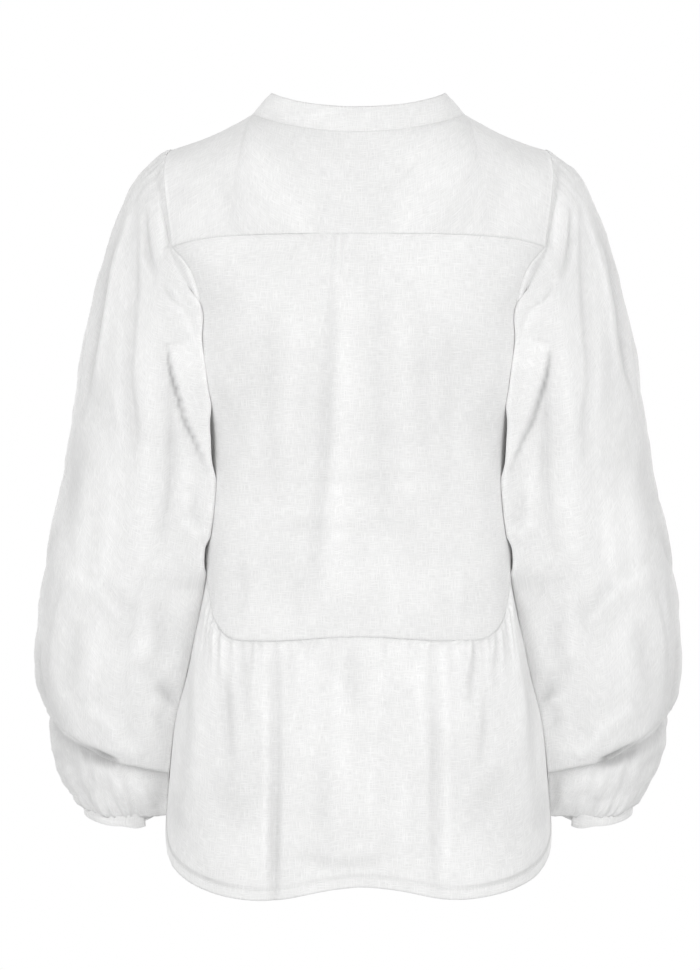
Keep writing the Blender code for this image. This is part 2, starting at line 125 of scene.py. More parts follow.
FRONT_SQUARENESS = 2.35
HALF_WIDTH, BACK_DEPTH, FRONT_DEPTH, BACK_SQUARENESS = 1, 2, 3, 4
BODY = numbers("""
# height, half width, back depth, front depth, back squareness
-70 214 92 74 2.8
-112 200 100 92 2.9
-140 180 105 106 3
-163 163 108 116 3
-181 154 109 122 3
-213 152.5 108 127 3.2
-250 147.5 103 126 3.2
-290 138.5 96 117 3
-330 135.5 90 108 2.9
-370 138 88 103 2.85
-405 142 90 104 2.8
-440 143 94 107 2.8
-463 147 98 111 2.8
-520 159 106 118 2.75
-565 169.5 112 123 2.7
-617 175 117 127 2.7
-662 178.5 120 129 2.7
-730 181 122 131 2.7
""")
BACK_EDGE, FRONT_EDGE = 1, 2
ARMHOLE = numbers("""
# height, back edge, front edge
-127 170 157
-140 158 148
-163 147.5 142
-181 144 141
-197 145 143.5
-213 152.5 152.5
""")
WAIST, HEM = 1, 2
AROUND = numbers("""
# around, waist seam, hem
0 -482 -710
0.3 -486 -718
0.52 -482 -710.5
0.72 -456 -695
0.85 -430 -679
0.94 -411 -662
1 -405 -655
""")
HEM_WAVE = numbers("""
# seen x, how far the back hem drops below its plain curve
-181 0
-120 0
-75 1
-40 -2
-5 -3
20 -2
70 2
120 1
181 0
""")

# The left sleeve, from just past the armhole to the cuff. It blouses over its lower end: the cloth
# turns under at its lowest edge, runs up inside and comes down again, gathered, to the cuff.
LEAN = 9
SLEEVE = numbers("""
# outer x, outer z, inner x, inner z, middle y, half depth, squareness,
# squareness of its inner back, how far that drops away from the camera, lean, sag
188 -43 156 -218 -3 62 2.1 2.6 0 0.4 0
203 -54 156 -224 -3 67 2.15 3 0 0.7 0
215.5 -75 150 -231 -4 70 2.2 3.4 0 0.85 0
226.5 -102 142 -240 -4 72 2.3 3.8 0 0.85 0
236.5 -132 135 -252 -5 73 2.4 4 0 0.85 0
247 -172 131 -268 -6 73 2.5 4 4 0.8 0
256 -215 132 -290 -10 72 2.5 4 8 0.6 0
262.5 -258 133 -315 -18 71 2.5 4 6 0.4 0
270 -302 131 -345 -26 70 2.5 4 0 0.4 0
277.5 -345 133 -378 -28 70 2.5 4 0 0.4 0
289 -390 137 -412 -29 71 2.5 4 6 0.3 0
296 -440 143 -455 -32 73 2.5 3.8 12 0.2 0
301.5 -488 150 -497 -37 75 2.5 3.8 16 0 0
303 -518 158 -541 -42 76 2.5 3.8 13 0 3
301 -535 164 -580 -46 75 2.5 3.8 10 0 8
298 -547 169 -608 -48 73 2.45 3.8 8 0 10.5
294 -555 172 -619 -49 69 2.4 3.8 8 0 10.5
289 -555 176 -618 -50 64 2.3 3.4 8 0 9
287 -551 178 -614 -50 59 2.2 3.2 8 0 7
291 -572 177 -619 -51 57 2.2 3 4 0 4
285 -602 175 -625 -51 52 2.2 2.8 8 0 5
271 -627 177 -632 -52 44 2.1 2.4 3 0 9
257 -646 180 -638 -52 37 2.1 2.1 0 0 12
""")
GAPES = numbers("""
# height, half its length, how far the sleeve's back stands away from the body's side
-305 30 6
-409 15 4.4
""")
CONTACT_PAINTED_LIGHT = 7.0     # painted light: how much lighter the cloth is painted where they touch, to undo the shade there, on the scale of its relief
CONTACT_REACH = 8.0
CONTACT_TOP, CONTACT_END, CONTACT_STEP = -144.0, -640.0, 19.0
CONTACT_INSIDE = 0.5   # how far the line lies inside the sleeve's own edge
SIDE_CLEARANCE = 1.4   # how far it lies outside the body's own edge further down
GAPE_FLOOR = 20.0      # how far back the sleeve closes on the body inside a gape
MIDDLE_ROW = 9.0
JOIN_ROWS = np.array([0.0, 1.0, 2.0, 3.0, 4.0])
JOINED = np.array([0.0, 0.62, 0.93, 1.0, 1.0])
BODY_HIGHLIGHT_CEILING, PEPLUM_HIGHLIGHT_CEILING, SLEEVE_HIGHLIGHT_CEILING = 3.5, 2.0, 2.5  # painted highlight: above this fold height a ridge is painted no lighter
SEAM_TUCK = 0.6        # how far the sleeve's cap reaches into the armhole seam
SEAM_PAINTED_LIGHT = 4.0        # painted light: how much lighter the cloth is painted beside that seam, to undo its shade, on the scale of its relief
SLEEVE_GAP = 0.9       # between the sleeve and the body it hangs against
FRONT_EASE = 3.0       # and how much more it stands away in front
UNDER_SLEEVE = 70.0    # how far in from the side seams the body's cloth lies smooth
SNUG_START = -34.0     # the depths between which it lies close to the body
SNUG_END_ABOVE, SNUG_END_BELOW = 86.0, 36.0
SNUG_ABOVE, SNUG_BELOW = -372.0, -440.0
CLEARING_FADE, CLEARING_SOFTNESS = 50.0, 0.2
PEPLUM_FULLNESS = 2.5  # how far the peplum's middle stands out from its edges
PEPLUM_EASE = 0.3      # and how much more room the sleeve leaves for its gathers at the side
CUFF_HEIGHT = 8.0
CUFF_LAP = 0.09        # how far the cuff's end laps over its start, in half turns
CUFF_LAP_PLACE = 0.55  # where it laps, behind
CUFF_LAP_DROP = 4.5

BAND = numbers("""
# place (front point 0, shoulder 1, centre back 2), lean inwards, lean back, rise
0 0 4 38
0.22 17 4 19
0.5 20.5 3 15.5
0.8 20 1.5 17
1 18 -1 19.5
1.4 12 -8 21.5
2 0 -12 23.5
""")

# -------------------- creases and gathers
# Gathers along a seam: where they start and end along it, how far apart they are, how high, how far
# they run in from it, and how wide each one is.

GATHERS = {
    "yoke seam": (-170, 170, 7.0, 0.28, 9.0, 1.8),
    "yoke top": (-150, 150, 8.0, 0.3, 7.0, 1.8),
    "back centre": (-48, 48, 4.6, 2.6, 30.0, 1.35),
    "back top": (-160, 160, 9.0, 0.3, 10.0, 2.2),
    "back waist": (-150, 150, 9.5, 0.55, 11.0, 2.2),
    "front waist": (-150, 150, 9.5, 0.6, 12.0, 2.4),
    "peplum, fine": (-190, 190, 7.6, 2.6, 16.0, 1.8),
    "peplum, broad": (-190, 190, 21.0, 1.8, 60.0, 4.6),
    "hem": (-230, 230, 15.0, 0.5, 9.0, 3.4),
    "cap top": (-95, 95, 6.6, 2.4, 30.0, 1.9),
    "cap": (-260, 260, 14.0, 0.5, 12.0, 3.2),
    "wrist, fine": (0, 190, 5.6, 2.8, 24.0, 1.3),
    "wrist, broad": (0, 190, 17.0, 2.6, 48.0, 3.6),
}
WRIST = GATHERS["wrist, fine"][1]

# Creases: height (a trough is below 0), width on the +X side of a route that runs down, width on its
# other side, then the route's points as seen from behind, each one x,depth below the origin. A crease's
# height also sets painted shade in the cloth's colour along a trough and a painted highlight along a
# ridge.

YOKE_CREASES = crease_rows("""
-0.35 1.3 1.3  116,20 104,56 92,81 80,104
-0.35 1.3 1.3  -116,20 -104,56 -92,81 -80,104
-0.4 1.3 1.3  78,11 54,44 28,76 5,104
-0.4 1.3 1.3  -78,11 -54,44 -26,76 -3,104
-0.6 9 7  32,70 36,90 38,112
0.6 10 8  -40,60 -44,85 -42,112
-0.9 8 10  128,48 120,82 118,112
-0.9 10 8  -132,46 -124,82 -120,112
""")
BACK_CREASES = crease_rows("""
-2.8 7 4.5  27,128 25,190 28,250 33,330 40,400 44,450
2.6 8 16  14,150 14,230 17,320 24,400 28,450
-1.6 9 7  -20,175 -18,256 -24,330 -26,400
1.3 7 9  -38,150 -42,260 -48,380
-1.4 8 6  -58,170 -62,250 -66,330
1.5 12 9  58,150 64,250 68,400
-1.6 8 11  82,170 84,260 80,350
-1.4 10 7  -88,200 -86,290 -82,380
-1 5 5  112,332 54,342 -11,338 -85,331
-0.9 5 6  100,391 27,384 -57,390
0.8 6 6  104,362 40,370 -40,362
-2.2 7 4  158,142 146,166 136,196
-2.2 4 7  -158,140 -147,165 -137,198
0.9 9 9  146,215 122,250 112,290
0.9 9 9  -146,215 -124,246 -113,285
-0.8 8 9  136,236 116,280 112,330
-0.8 9 8  -137,232 -118,276 -110,324
-1.4 7 5  112,400 108,440 110,470
1.5 6 6  -98,410 -94,445 -96,474
-1.3 5 7  60,420 56,455 57,482
1.3 6 6  -30,415 -33,450 -31,480
""")
FRONT_CREASES = crease_rows("""
-2.4 8 5  50,150 52,260 56,430
2 9 8  33,190 36,300 38,420
2.4 10 8  10,195 8,320 6,460
-2.2 7 10  -52,165 -54,290 -50,440
-1.8 8 6  -20,235 -17,340 -14,455
1.5 8 9  -74,190 -72,300 -78,400
1.5 9 8  84,185 86,280 80,380
-2 6 5  140,170 112,205 88,232
-2 5 6  -140,168 -114,206 -92,238
1.6 7 6  144,205 118,245 98,290
1.6 6 7  -144,208 -116,242 -96,286
-1.2 6 6  110,338 30,346 -70,336
-1 5 6  96,392 20,386 -80,394
-1.6 6 4  112,60 102,100 98,150
-1.6 4 6  -112,60 -104,98 -98,146
1.2 7 6  132,70 124,110 122,150
1.2 6 7  -134,72 -126,112 -120,150
""")
PEPLUM_CREASES = crease_rows("""
3 6 5  88,500 86,560 86,650 88,720
-3.4 6 4  76,488 76,560 76,640 79,740
-3 5 4  79,620 78,680 79,745
2.9 5 6  -80,498 -82,570 -82,650 -84,720
-3.2 4 6  -67,488 -71,560 -70,640 -73,740
2.6 5 4  53,492 55,535 62,575
2.6 4 5  -52,505 -57,553 -62,590
2 5 5  -25,512 -20,545 -16,580
1.6 10 9  16,525 15,570 13,625
-2.2 5 5  8,495 6,530 5,560
2 4 4  -13,590 -12,620 -9,660
-3 7 5  124,520 122,560 118,615
-2.6 5 6  112,478 107,535 100,575
-2.8 5 7  -121,530 -118,570 -113,610
-2.4 5 5  -109,485 -106,520 -103,550
-3 17 14  135,610 123,635 108,668
-3 14 17  -133,608 -121,634 -106,668
-2.4 6 7  58,688 20,699 -32,692
-2 7 8  175,628 172,650 165,668
-2 8 7  -175,628 -172,650 -165,668
2 8 8  -38,600 -42,650 -40,705
-2 8 8  30,590 34,640 32,700
2.4 9 8  142,470 146,540 150,600
2.4 8 9  -142,470 -147,545 -150,600
-2 7 7  154,500 160,570 165,640
-2 7 7  -154,498 -160,566 -166,640
""")
PEPLUM_FRONT_CREASES = crease_rows("""
4 6 7  64,500 66,590 70,725
-4 5 6  50,492 50,580 54,740
3.8 7 6  -92,500 -94,600 -92,725
-4 6 4  -78,490 -79,590 -77,740
2.6 6 6  20,498 18,540 22,600
-2.4 5 6  -12,492 -14,560 -8,630
2.4 7 8  -44,510 -42,600 -46,700
-2.6 6 5  112,478 108,540 102,620
-2.6 5 6  -124,470 -120,540 -114,610
2.4 9 8  138,470 144,550 146,630
2.4 8 9  -146,466 -150,540 -150,620
-2.4 14 12  24,640 8,670 -8,705
""")
SLEEVE_CREASES = crease_rows("""
# the fold behind its outer edge, and the long folds of its outer half
-2.8 2.2 2.8  214,70 222,106 234,145 241,191 250,242 262,300
1.8 4 6  222,120 232,170 238,215 247,262
-3.6 8 3.5  206,84 207,125 208,163 211,209 213,245 208,290 211,330
2.4 8 8  221,190 222,240 222,290 220,330
2.2 9 8  228,330 233,400 240,440
-1.6 2.2 2.5  229,118 238,165 245,209 251,250
1.5 2.2 2.2  208,68 217,108 228,150 235,196 244,246
-2.4 6 8  262,290 268,345 276,400
1.8 9 8  250,330 258,400 262,450
# the cap and the armhole
-4 4 2.5  198,84 197,112 193,135 186,150
3.4 6 5  183,70 182,100 180,134
-2.8 3 3  172,104 168,126 160,150
-3.4 5 7  166,130 154,156 143,174
-2.6 2 3  181,157 171,172 160,178
3.6 7 5  172,168 161,188 149,209 144,218
# the fold beside the body: a lobe that hangs from the armhole over the cloth below it
6.5 4 22  179,214 176,226 173,242 166,266 157,292 145,332
-4.6 3 1.4  177,220 173,242 169,256 161,284 153,302 144,322
-6.5 3 1.4  178,212 176,228 173,243 169,257 163,277
-4.2 4.5 1.4  171,250 161,284 153,302 145,322 139,338
-1.2 5 3  180,212 178,226 175,244 170,262
-3.8 3 3.5  175,250 175,293 175,330 178,369 184,414
2.4 9 9  192,190 194,270 196,360 200,420
2.4 7 7  162,300 160,340 158,385
-2.6 4 6  152,345 152,370 147,388
3 9 6  164,378 152,386 143,393
# the full lower half
2.6 9 6  278,420 256,436 238,444 220,464 208,478
-2.4 6 9  240,440 230,446 216,460 204,474
-1.8 3 4  283,380 288,410 290,440 294,475 296,505
-1.6 4 3  276,430 283,455 288,480 291,520 288,545
2 10 9  240,470 246,510 250,545
-3 9 8  262,470 268,510 272,540
-3 10 9  210,508 188,520 166,534
-6.5 4 7  188,530 176,542 163,552
-2.6 4 5  180,549 185,563 177,578
2 8 8  200,440 198,490 206,530
-3 7 7  184,455 181,490 186,515
3 8 7  256,548 238,562 218,575
3.6 6 6  232,572 214,590 202,596
-7 7 5  302,548 291,568 270,586 246,596 224,603
-3.6 5 4  262,590 238,599 222,604
-3.6 5 9  284,590 272,602 258,612
5 12 10  226,617 202,625 180,632
-4 9 12  304,490 302,522 294,552 276,576
-3 5 4  262,585 252,606 246,634
2.6 4 4  232,600 226,620 222,634
-2.6 3 4  222,604 216,622 212,634
""")
SLEEVE_FRONT_CREASES = crease_rows("""
-3.4 7 5  206,110 204,200 210,330
3 9 8  222,180 222,280 228,360
-2.4 6 5  238,150 246,230 254,300
-7 4 5  172,215 170,290 176,380 182,430
3.2 9 9  190,200 192,300 196,410
-5 4 5  168,240 156,280 148,310
3.2 7 6  268,400 244,430 222,450
-2.6 6 6  250,452 230,470 208,478
2.4 9 9  232,480 240,515 246,545
-2.6 8 8  206,500 188,520 168,530
-2.2 7 7  272,440 276,490 274,530
-2.4 5 4  196,92 194,120 188,146
2.4 7 6  180,84 178,112 174,140
""")
SLEEVE_SIDE_CREASES = crease_rows("""
# on its outer side, where a route is y,depth
-2 7 6  10,95 16,160 8,240 4,320
1.8 8 8  -12,110 -16,200 -20,300 -24,380
-1.8 6 8  -34,130 -38,220 -44,330
1.6 8 7  28,150 26,240 18,330
-2 8 6  14,380 -6,410 -34,430
1.8 7 8  8,425 -22,450 -52,460
-1.8 7 7  -4,470 -8,515 -14,550
1.8 8 8  -40,480 -44,520 -46,555
-1.8 6 6  -70,440 -76,490 -74,540
""")


def unit(values):
    """Values kept between 0 and 1."""
    return np.clip(values, 0.0, 1.0)


def smooth(keys, values, at):
    """A smooth curve through values at rising keys, at many places at once."""
    slopes = np.gradient(values, keys)
    i = np.clip(np.searchsorted(keys, at) - 1, 0, len(keys) - 2)
    step = keys[i + 1] - keys[i]
    t = unit((at - keys[i]) / step)
    return (
        values[i] * (1 + 2 * t) * (1 - t) ** 2
        + values[i + 1] * t * t * (3 - 2 * t)
        + step * (slopes[i] * t * (1 - t) ** 2 - slopes[i + 1] * t * t * (1 - t))
    )


def along(table, column, at):
    """One column of a table as a smooth curve through its rows; the first column is the place."""
    order = 1 if table[-1, 0] > table[0, 0] else -1
    return smooth(table[::order, 0], table[::order, column], np.asarray(at, float))


def point(x, y, z):
    """Points from their coordinates, spread to a common shape."""
    return np.stack(np.broadcast_arrays(x, y, z), axis=-1)


def squareness(face, height):
    """How square the body's section is behind or in front: 2 is an ellipse, more is squarer."""
    return along(BODY, BACK_SQUARENESS, height) if face == BACK else FRONT_SQUARENESS


def body_point(face, angle, height):
    """The body's surface on the left half, at an angle round from the centre line."""
    power = 2.0 / squareness(face, height)
    depth = along(BODY, BACK_DEPTH if face == BACK else FRONT_DEPTH, height)
    x = along(BODY, HALF_WIDTH, height) * np.sin(angle) ** power
    return point(x, face * depth * unit(np.cos(angle)) ** power, height)


def body_side(y, height):
    """How far the body reaches sideways at a depth and a height."""
    depth = np.where(y > 0, along(BODY, BACK_DEPTH, height), along(BODY, FRONT_DEPTH, height))
    square = np.where(y > 0, squareness(BACK, height), squareness(FRONT, height))
    share = np.minimum(np.abs(y) / depth, 1.0)
    return along(BODY, HALF_WIDTH, height) * (1.0 - share**square) ** (1.0 / square)


def edge_angle(face, height):
    """The angle at which a panel ends: at the armhole, or below it at the side seam."""
    reach = along(ARMHOLE, BACK_EDGE if face == BACK else FRONT_EDGE, height)
    share = np.minimum(reach / along(BODY, HALF_WIDTH, height), 1.0)
    angle = np.arcsin(share ** (squareness(face, height) / 2.0))
    return np.where(height <= ARMPIT_Z, pi / 2, angle)


def neck_point(face, u):
    """The neck seam, from the centre line (0) to the shoulder-neck point (1)."""
    half = NECK_WIDTH / 2
    if face == BACK:
        fullness, roundness = NECK_BACK_CURVES
        turn = unit(np.cos(u * pi / 2))
        return point(
            half * np.sin(u * pi / 2),
            NECK_BACK_DEPTH * turn**fullness,
            -NECK_BACK_DROP * turn**roundness,
        )
    bow, fullness = V_CURVES
    down = unit(1.0 - u)
    return point(
        half * (1.0 - down**bow),
        -NECK_FRONT_DEPTH * np.sin(down * pi / 2) ** fullness,
        -NECK_FRONT_DROP * (V_STRAIGHT * down + (1.0 - V_STRAIGHT) * down * down),
    )


def top_point(face, u):
    """The top edge of a panel: the neckline, then the shoulder seam out to its tip."""
    out = unit((u - NECK_SHARE) / (1.0 - NECK_SHARE))
    tip_x, tip_y, tip_z = SHOULDER_TIP
    shoulder = point(
        NECK_WIDTH / 2 + out * (tip_x - NECK_WIDTH / 2),
        out * tip_y,
        out * tip_z - SHOULDER_HOLLOW * np.sin(out * pi),
    )
    neck = neck_point(face, unit(u / NECK_SHARE))
    return np.where((u <= NECK_SHARE)[..., None], neck, shoulder)


def chest_point(face, u):
    """The level of the yoke seam, from the centre line (0) to the armhole (1)."""
    centre = YOKE_CENTRE_Z if face == BACK else FRONT_CENTRE_Z
    height = centre + (CHEST_EDGE_Z - centre) * u**YOKE_ARCH
    return body_point(face, u * edge_angle(face, CHEST_EDGE_Z), height)


def upper_point(face, u, v):
    """A panel between its top edge (v 0) and the chest level (v 1)."""
    top, chest = top_point(face, u), chest_point(face, u)
    sharpest, growth, extra = SHOULDER_TURN
    turn = 1.0 + sharpest * u**growth
    bow = ARMHOLE_BOW * u**ARMHOLE_BOW_POWER * np.sin(v * pi)
    return point(
        top[..., 0] + (chest[..., 0] - top[..., 0]) * v + bow,
        top[..., 1] + (chest[..., 1] - top[..., 1]) * (1.0 - (1.0 - v) ** (turn + extra)),
        top[..., 2] + (chest[..., 2] - top[..., 2]) * v**turn,
    )


def lower_point(face, u, v):
    """A panel between the chest level (v 0) and the waist seam (v 1)."""
    start = chest_point(face, u)[..., 2]
    edge = CHEST_EDGE_Z + (along(AROUND, WAIST, 1.0) - CHEST_EDGE_Z) * v
    height = start + (along(AROUND, WAIST, u) - start) * v
    end = edge_angle(face, edge)
    even = u * end
    upright = u * pi / 2 - (pi / 2 - end) * u**UPRIGHT_POWER
    return body_point(face, even + (upright - even) * fade(v, UPRIGHT_BY), height)


def peplum_point(face, u, v):
    """The peplum between the waist seam (v 0) and the hem (v 1)."""
    start = along(AROUND, WAIST, u)
    height = start + (along(AROUND, HEM, u) - start) * v
    return body_point(face, u * pi / 2, height)


def armhole_point(face, share):
    """The armhole of the left half, from the shoulder tip (0) to the underarm (1)."""
    one = np.ones_like(share)
    upper = upper_point(face, one, unit(share / ARMPIT_SHARE))
    to_armpit = (CHEST_EDGE_Z - ARMPIT_Z) / (CHEST_EDGE_Z - along(AROUND, WAIST, 1.0))
    below = unit((share - ARMPIT_SHARE) / (1.0 - ARMPIT_SHARE))
    lower = lower_point(face, one, to_armpit * below)
    return np.where((share <= ARMPIT_SHARE)[..., None], upper, lower)


def clear_of_body(points, gap):
    """Moves points of the left sleeve outwards until they clear the body by a gap."""
    x, y, z = points[..., 0], points[..., 1], points[..., 2]
    below_waist = unit((along(AROUND, WAIST, 1.0) - z) / CLEARING_FADE)
    ease = FRONT_EASE * fade(-12.0 - y, 40.0) + PEPLUM_EASE * below_waist
    short = body_side(y, z) + gap + ease - x
    below_chest = unit((CHEST_EDGE_Z - z) / CLEARING_FADE)
    push = 0.5 * (short + np.hypot(short, CLEARING_SOFTNESS)) * below_chest
    return point(x + push, y, z)


def lean_on_body(points, lean, t):
    """Draws the sleeve's inner back towards the body, as its cloth hangs there."""
    x, y, z = points[..., 0], points[..., 1], points[..., 2]
    inner_back = unit(-np.sin(2.0 * pi * t)) * (t < 1.0)
    inner = unit(-4.0 * np.cos(pi * t))
    reach = unit((z - SNUG_BELOW) / (SNUG_ABOVE - SNUG_BELOW))
    end = SNUG_END_BELOW + (SNUG_END_ABOVE - SNUG_END_BELOW) * reach
    snug = fade(y - SNUG_START, 20.0) * fade(end - y, 12.0 + 12.0 * reach) * inner
    below_chest = unit((CHEST_EDGE_Z - z) / CLEARING_FADE)
    spare = np.clip(x - body_side(y, z), 0.0, None)
    x = x - spare * np.maximum(lean * inner_back, snug * below_chest)
    for height, half_length, width in GAPES:
        within = np.exp(-(((z - height) / half_length) ** 4))
        x = x + width * within * fade(y - GAPE_FLOOR, 14.0) * inner
    return point(x, y, z)


def sleeve_ring(row, t):
    """The sleeve's section at a row of its table; t is 0 on top, 1 at the underarm, 2 on top again
    by way of the front."""
    keys = np.arange(len(SLEEVE), dtype=float)
    columns = (smooth(keys, SLEEVE[:, i], row) for i in range(SLEEVE.shape[1]))
    out_x, out_z, in_x, in_z, middle, depth, square, corner, drop, _, sag = columns
    c, s = np.cos(pi * t), np.sin(pi * t)
    inner_back = (c < 0.0) & (s > 0.0)
    power = 2.0 / np.where(inner_back, corner, square)
    across = np.sign(c) * np.abs(c) ** power
    reach = depth - np.where(inner_back, drop * np.abs(across), 0.0)
    through = np.sign(s) * np.abs(s) ** power * reach
    return point(
        (out_x + in_x) / 2 + across * (out_x - in_x) / 2,
        middle + through,
        (out_z + in_z) / 2 + across * (out_z - in_z) / 2 - sag * (1.0 - across * across),
    )


def sleeve_point(row, t):
    """The left sleeve: row 0 is the armhole, row 1 the first of its table."""
    behind = armhole_point(BACK, unit(t))
    ahead = armhole_point(FRONT, unit(2.0 - t))
    armhole = np.where((t <= 1.0)[..., None], behind, ahead)
    in_table = np.clip(row - 1.0, 0.0, None)
    section = sleeve_ring(in_table, t)
    joined = smooth(JOIN_ROWS, JOINED, row)[..., None]
    points = armhole + (section - armhole) * joined
    lean = smooth(np.arange(len(SLEEVE), dtype=float), SLEEVE[:, LEAN], in_table)
    hung = clear_of_body(lean_on_body(points, lean, t), SLEEVE_GAP)
    return points + (hung - points) * unit(row)[..., None]


# -------------------- working on a grid of points


def normals(points, closed):
    """The surface's direction at each point of a grid, out of the cloth."""
    if closed:
        wide = np.concatenate([points[:, -1:], points, points[:, :1]], axis=1)
        across = (wide[:, 2:] - wide[:, :-2]) / 2
    else:
        across = np.gradient(points, axis=1)
    direction = np.cross(across, np.gradient(points, axis=0))
    return direction / np.maximum(np.linalg.norm(direction, axis=-1, keepdims=True), 1e-9)


def lengths(points, axis):
    """How far each point of a grid is from the first one along its row or column."""
    steps = np.linalg.norm(np.diff(points, axis=axis), axis=-1)
    start = np.zeros_like(steps[:, :1] if axis == 1 else steps[:1])
    return np.concatenate([start, np.cumsum(steps, axis=axis)], axis=axis)


def seen(points):
    """Where the camera behind sees points, as x and z in the plane through the origin."""
    near = CAMERA_REACH / (CAMERA_REACH - points[..., 1])
    x = CAMERA_X + (points[..., 0] - CAMERA_X) * near
    return x, CAMERA_Z + (points[..., 2] - CAMERA_Z) * near


def route_points(route, steps=5):
    """A smooth line through a crease's few points."""
    place = np.arange(len(route), dtype=float)
    at = np.linspace(0.0, place[-1], steps * (len(route) - 1) + 1)
    return np.stack([smooth(place, route[:, 0], at), smooth(place, route[:, 1], at)], axis=-1)


def creases(x, z, table):
    """How far a table of creases lifts the cloth at places seen from behind."""
    lift = np.zeros(x.shape)
    for height, wide_plus, wide_minus, route in table:
        line = route_points(route)
        margin = 2.6 * max(wide_plus, wide_minus)
        low, high = line.min(axis=0) - margin, line.max(axis=0) + margin
        near = (x > low[0]) & (x < high[0]) & (z > low[1]) & (z < high[1])
        px, pz = x[near], z[near]
        nearest, aside, place = np.full(px.shape, 1e9), np.zeros(px.shape), np.zeros(px.shape)
        for i, (a, b) in enumerate(zip(line[:-1], line[1:])):
            step = b - a
            t = unit(((px - a[0]) * step[0] + (pz - a[1]) * step[1]) / (step @ step))
            off_x, off_z = px - a[0] - t * step[0], pz - a[1] - t * step[1]
            distance = np.hypot(off_x, off_z)
            closer = distance < nearest
            nearest = np.where(closer, distance, nearest)
            side = np.where(step[0] * off_z - step[1] * off_x > 0, wide_plus, wide_minus)
            aside = np.where(closer, distance / side, aside)
            place = np.where(closer, (i + t) / (len(line) - 1), place)
        ends = np.sin(pi * unit(place)) ** 0.6
        lift[near] += height * np.exp(-aside * aside) * ends
    return lift


def other_side(table, seed):
    """A left sleeve's creases as the right one has them: mirrored, and not quite alike."""
    random = np.random.default_rng(seed)
    rows = []
    for height, wide_plus, wide_minus, route in table:
        scale = random.uniform(0.85, 1.1)
        rows.append((height * scale, wide_plus, wide_minus, route + random.uniform(-1.5, 1.5, 2)))
    return rows


def rumple(across, down, size, seed):
    """Soft unevenness between -1 and 1, about a size from one bump to the next."""
    random = np.random.default_rng(seed)
    u = (across - across.min()) / size
    v = (down - down.min()) / size
    values = random.uniform(-1.0, 1.0, (int(u.max()) + 3, int(v.max()) + 3))
    i, j = u.astype(int), v.astype(int)
    f, g = u - i, v - j
    f, g = f * f * (3 - 2 * f), g * g * (3 - 2 * g)
    low = values[i, j] * (1 - f) + values[i + 1, j] * f
    high = values[i, j + 1] * (1 - f) + values[i + 1, j + 1] * f
    return low * (1 - g) + high * g


def gathers(at, reach, seam, seed):
    """Uneven small ridges that run in from a gathered seam, by how far each point is along it (at)
    and away from it (reach)."""
    start, end, spacing, depth, length, width = GATHERS[seam]
    random = np.random.default_rng(seed)
    lift = np.zeros(at.shape)
    for centre in np.arange(start, end, spacing):
        middle = centre + random.uniform(-0.35, 0.35) * spacing
        tall = depth * random.uniform(0.35, 1.4)
        far = length * random.uniform(0.4, 1.8)
        wide = width * random.uniform(0.75, 1.3)
        lean = random.normal(0.0, 0.07)
        aside = (at - middle - lean * reach) / (wide * (1.0 + 0.7 * reach / far))
        lift += tall * np.exp(-aside * aside) * np.exp(-((np.abs(reach) / far) ** 1.3))
    return lift * (0.45 + 0.55 * unit(reach / 5.0))


def fade(distance, over):
    """0 at an edge, rising smoothly to 1 a little way from it."""
    t = unit(distance / over)
    return t * t * (3 - 2 * t)


# -------------------- meshes

stitches = []


def shell(name, points, thickness, closed, material, relief_and_painted_shade=0.0, grain=None):
    """A thin closed wall of cloth about a grid of points, in its place on the blouse. Its
    relief_and_painted_shade is how far its folds stand out, with painted light and shade added at seams,
    hems and contacts; the cloth's colour follows it as painted shade in troughs and painted highlights on
    ridges. Grain is the column that its warp threads follow, the middle one where none is given."""
    out = normals(points, closed) * np.broadcast_to(thickness, points.shape[:2])[..., None] / 2
    rows, count = points.shape[:2]
    wide = count if closed else count - 1
    vertices = np.concatenate([(points + out).reshape(-1, 3), (points - out).reshape(-1, 3)]) * MM
    faces, places = [], []

    def wall(row, column, layer, turned):
        """Adds faces by the grid row, the grid column and the layer of their four corners."""
        corners = np.broadcast_arrays(row, column, layer)
        row, column, layer = (c[:, ::-1] for c in corners) if turned else corners
        faces.append((layer * rows + row) * count + column % count)
        places.append((row, column))

    late, middle = np.array([0, 0, 1, 1]), np.array([0, 1, 1, 0])  # which corners are one step on
    r, c = np.arange(rows - 1)[:, None], np.arange(wide)[:, None]
    for layer in (0, 1):
        wall(np.repeat(r, wide, axis=0) + late, np.tile(c, (rows - 1, 1)) + middle, layer, layer == 1)
    for row in (0, rows - 1):
        wall(row, c + middle, late, row == 0)
    for column in () if closed else (0, count - 1):
        wall(r + middle, column, late, column > 0)

    mesh = bpy.data.meshes.new(name)
    mesh.from_pydata(vertices, [], np.concatenate(faces))
    whole = np.concatenate([points, points[:, :1]], axis=1) if closed else points
    across, down = lengths(whole, 1) * MM, lengths(whole, 0) * MM
    grain = count // 2 if grain is None else grain
    across = across - across[:, grain:grain + 1]
    layer = mesh.uv_layers.new(name="cloth")
    at = tuple(np.concatenate(part).ravel() for part in zip(*places))
    layer.data.foreach_set("uv", np.stack([across[at], down[at]], axis=-1).ravel())
    # painted shade and light, one value to each point, which the colour follows
    folds_and_painted_shade = np.tile(np.broadcast_to(relief_and_painted_shade, points.shape[:2]).ravel(), 2)
    mesh.attributes.new("relief_and_painted_shade", "FLOAT", "POINT").data.foreach_set("value", folds_and_painted_shade)
    mesh.shade_smooth()
    mesh.update()
    piece = add(name + "_cloth", mesh, material)
    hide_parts(name)
    return piece


def add(name, mesh, material):
    """Puts a mesh on the blouse as one of its pieces."""
    piece = bpy.data.objects.new(name, mesh)
    bpy.context.scene.collection.objects.link(piece)
    mesh.materials.append(material)
    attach(piece, "root")
    return piece


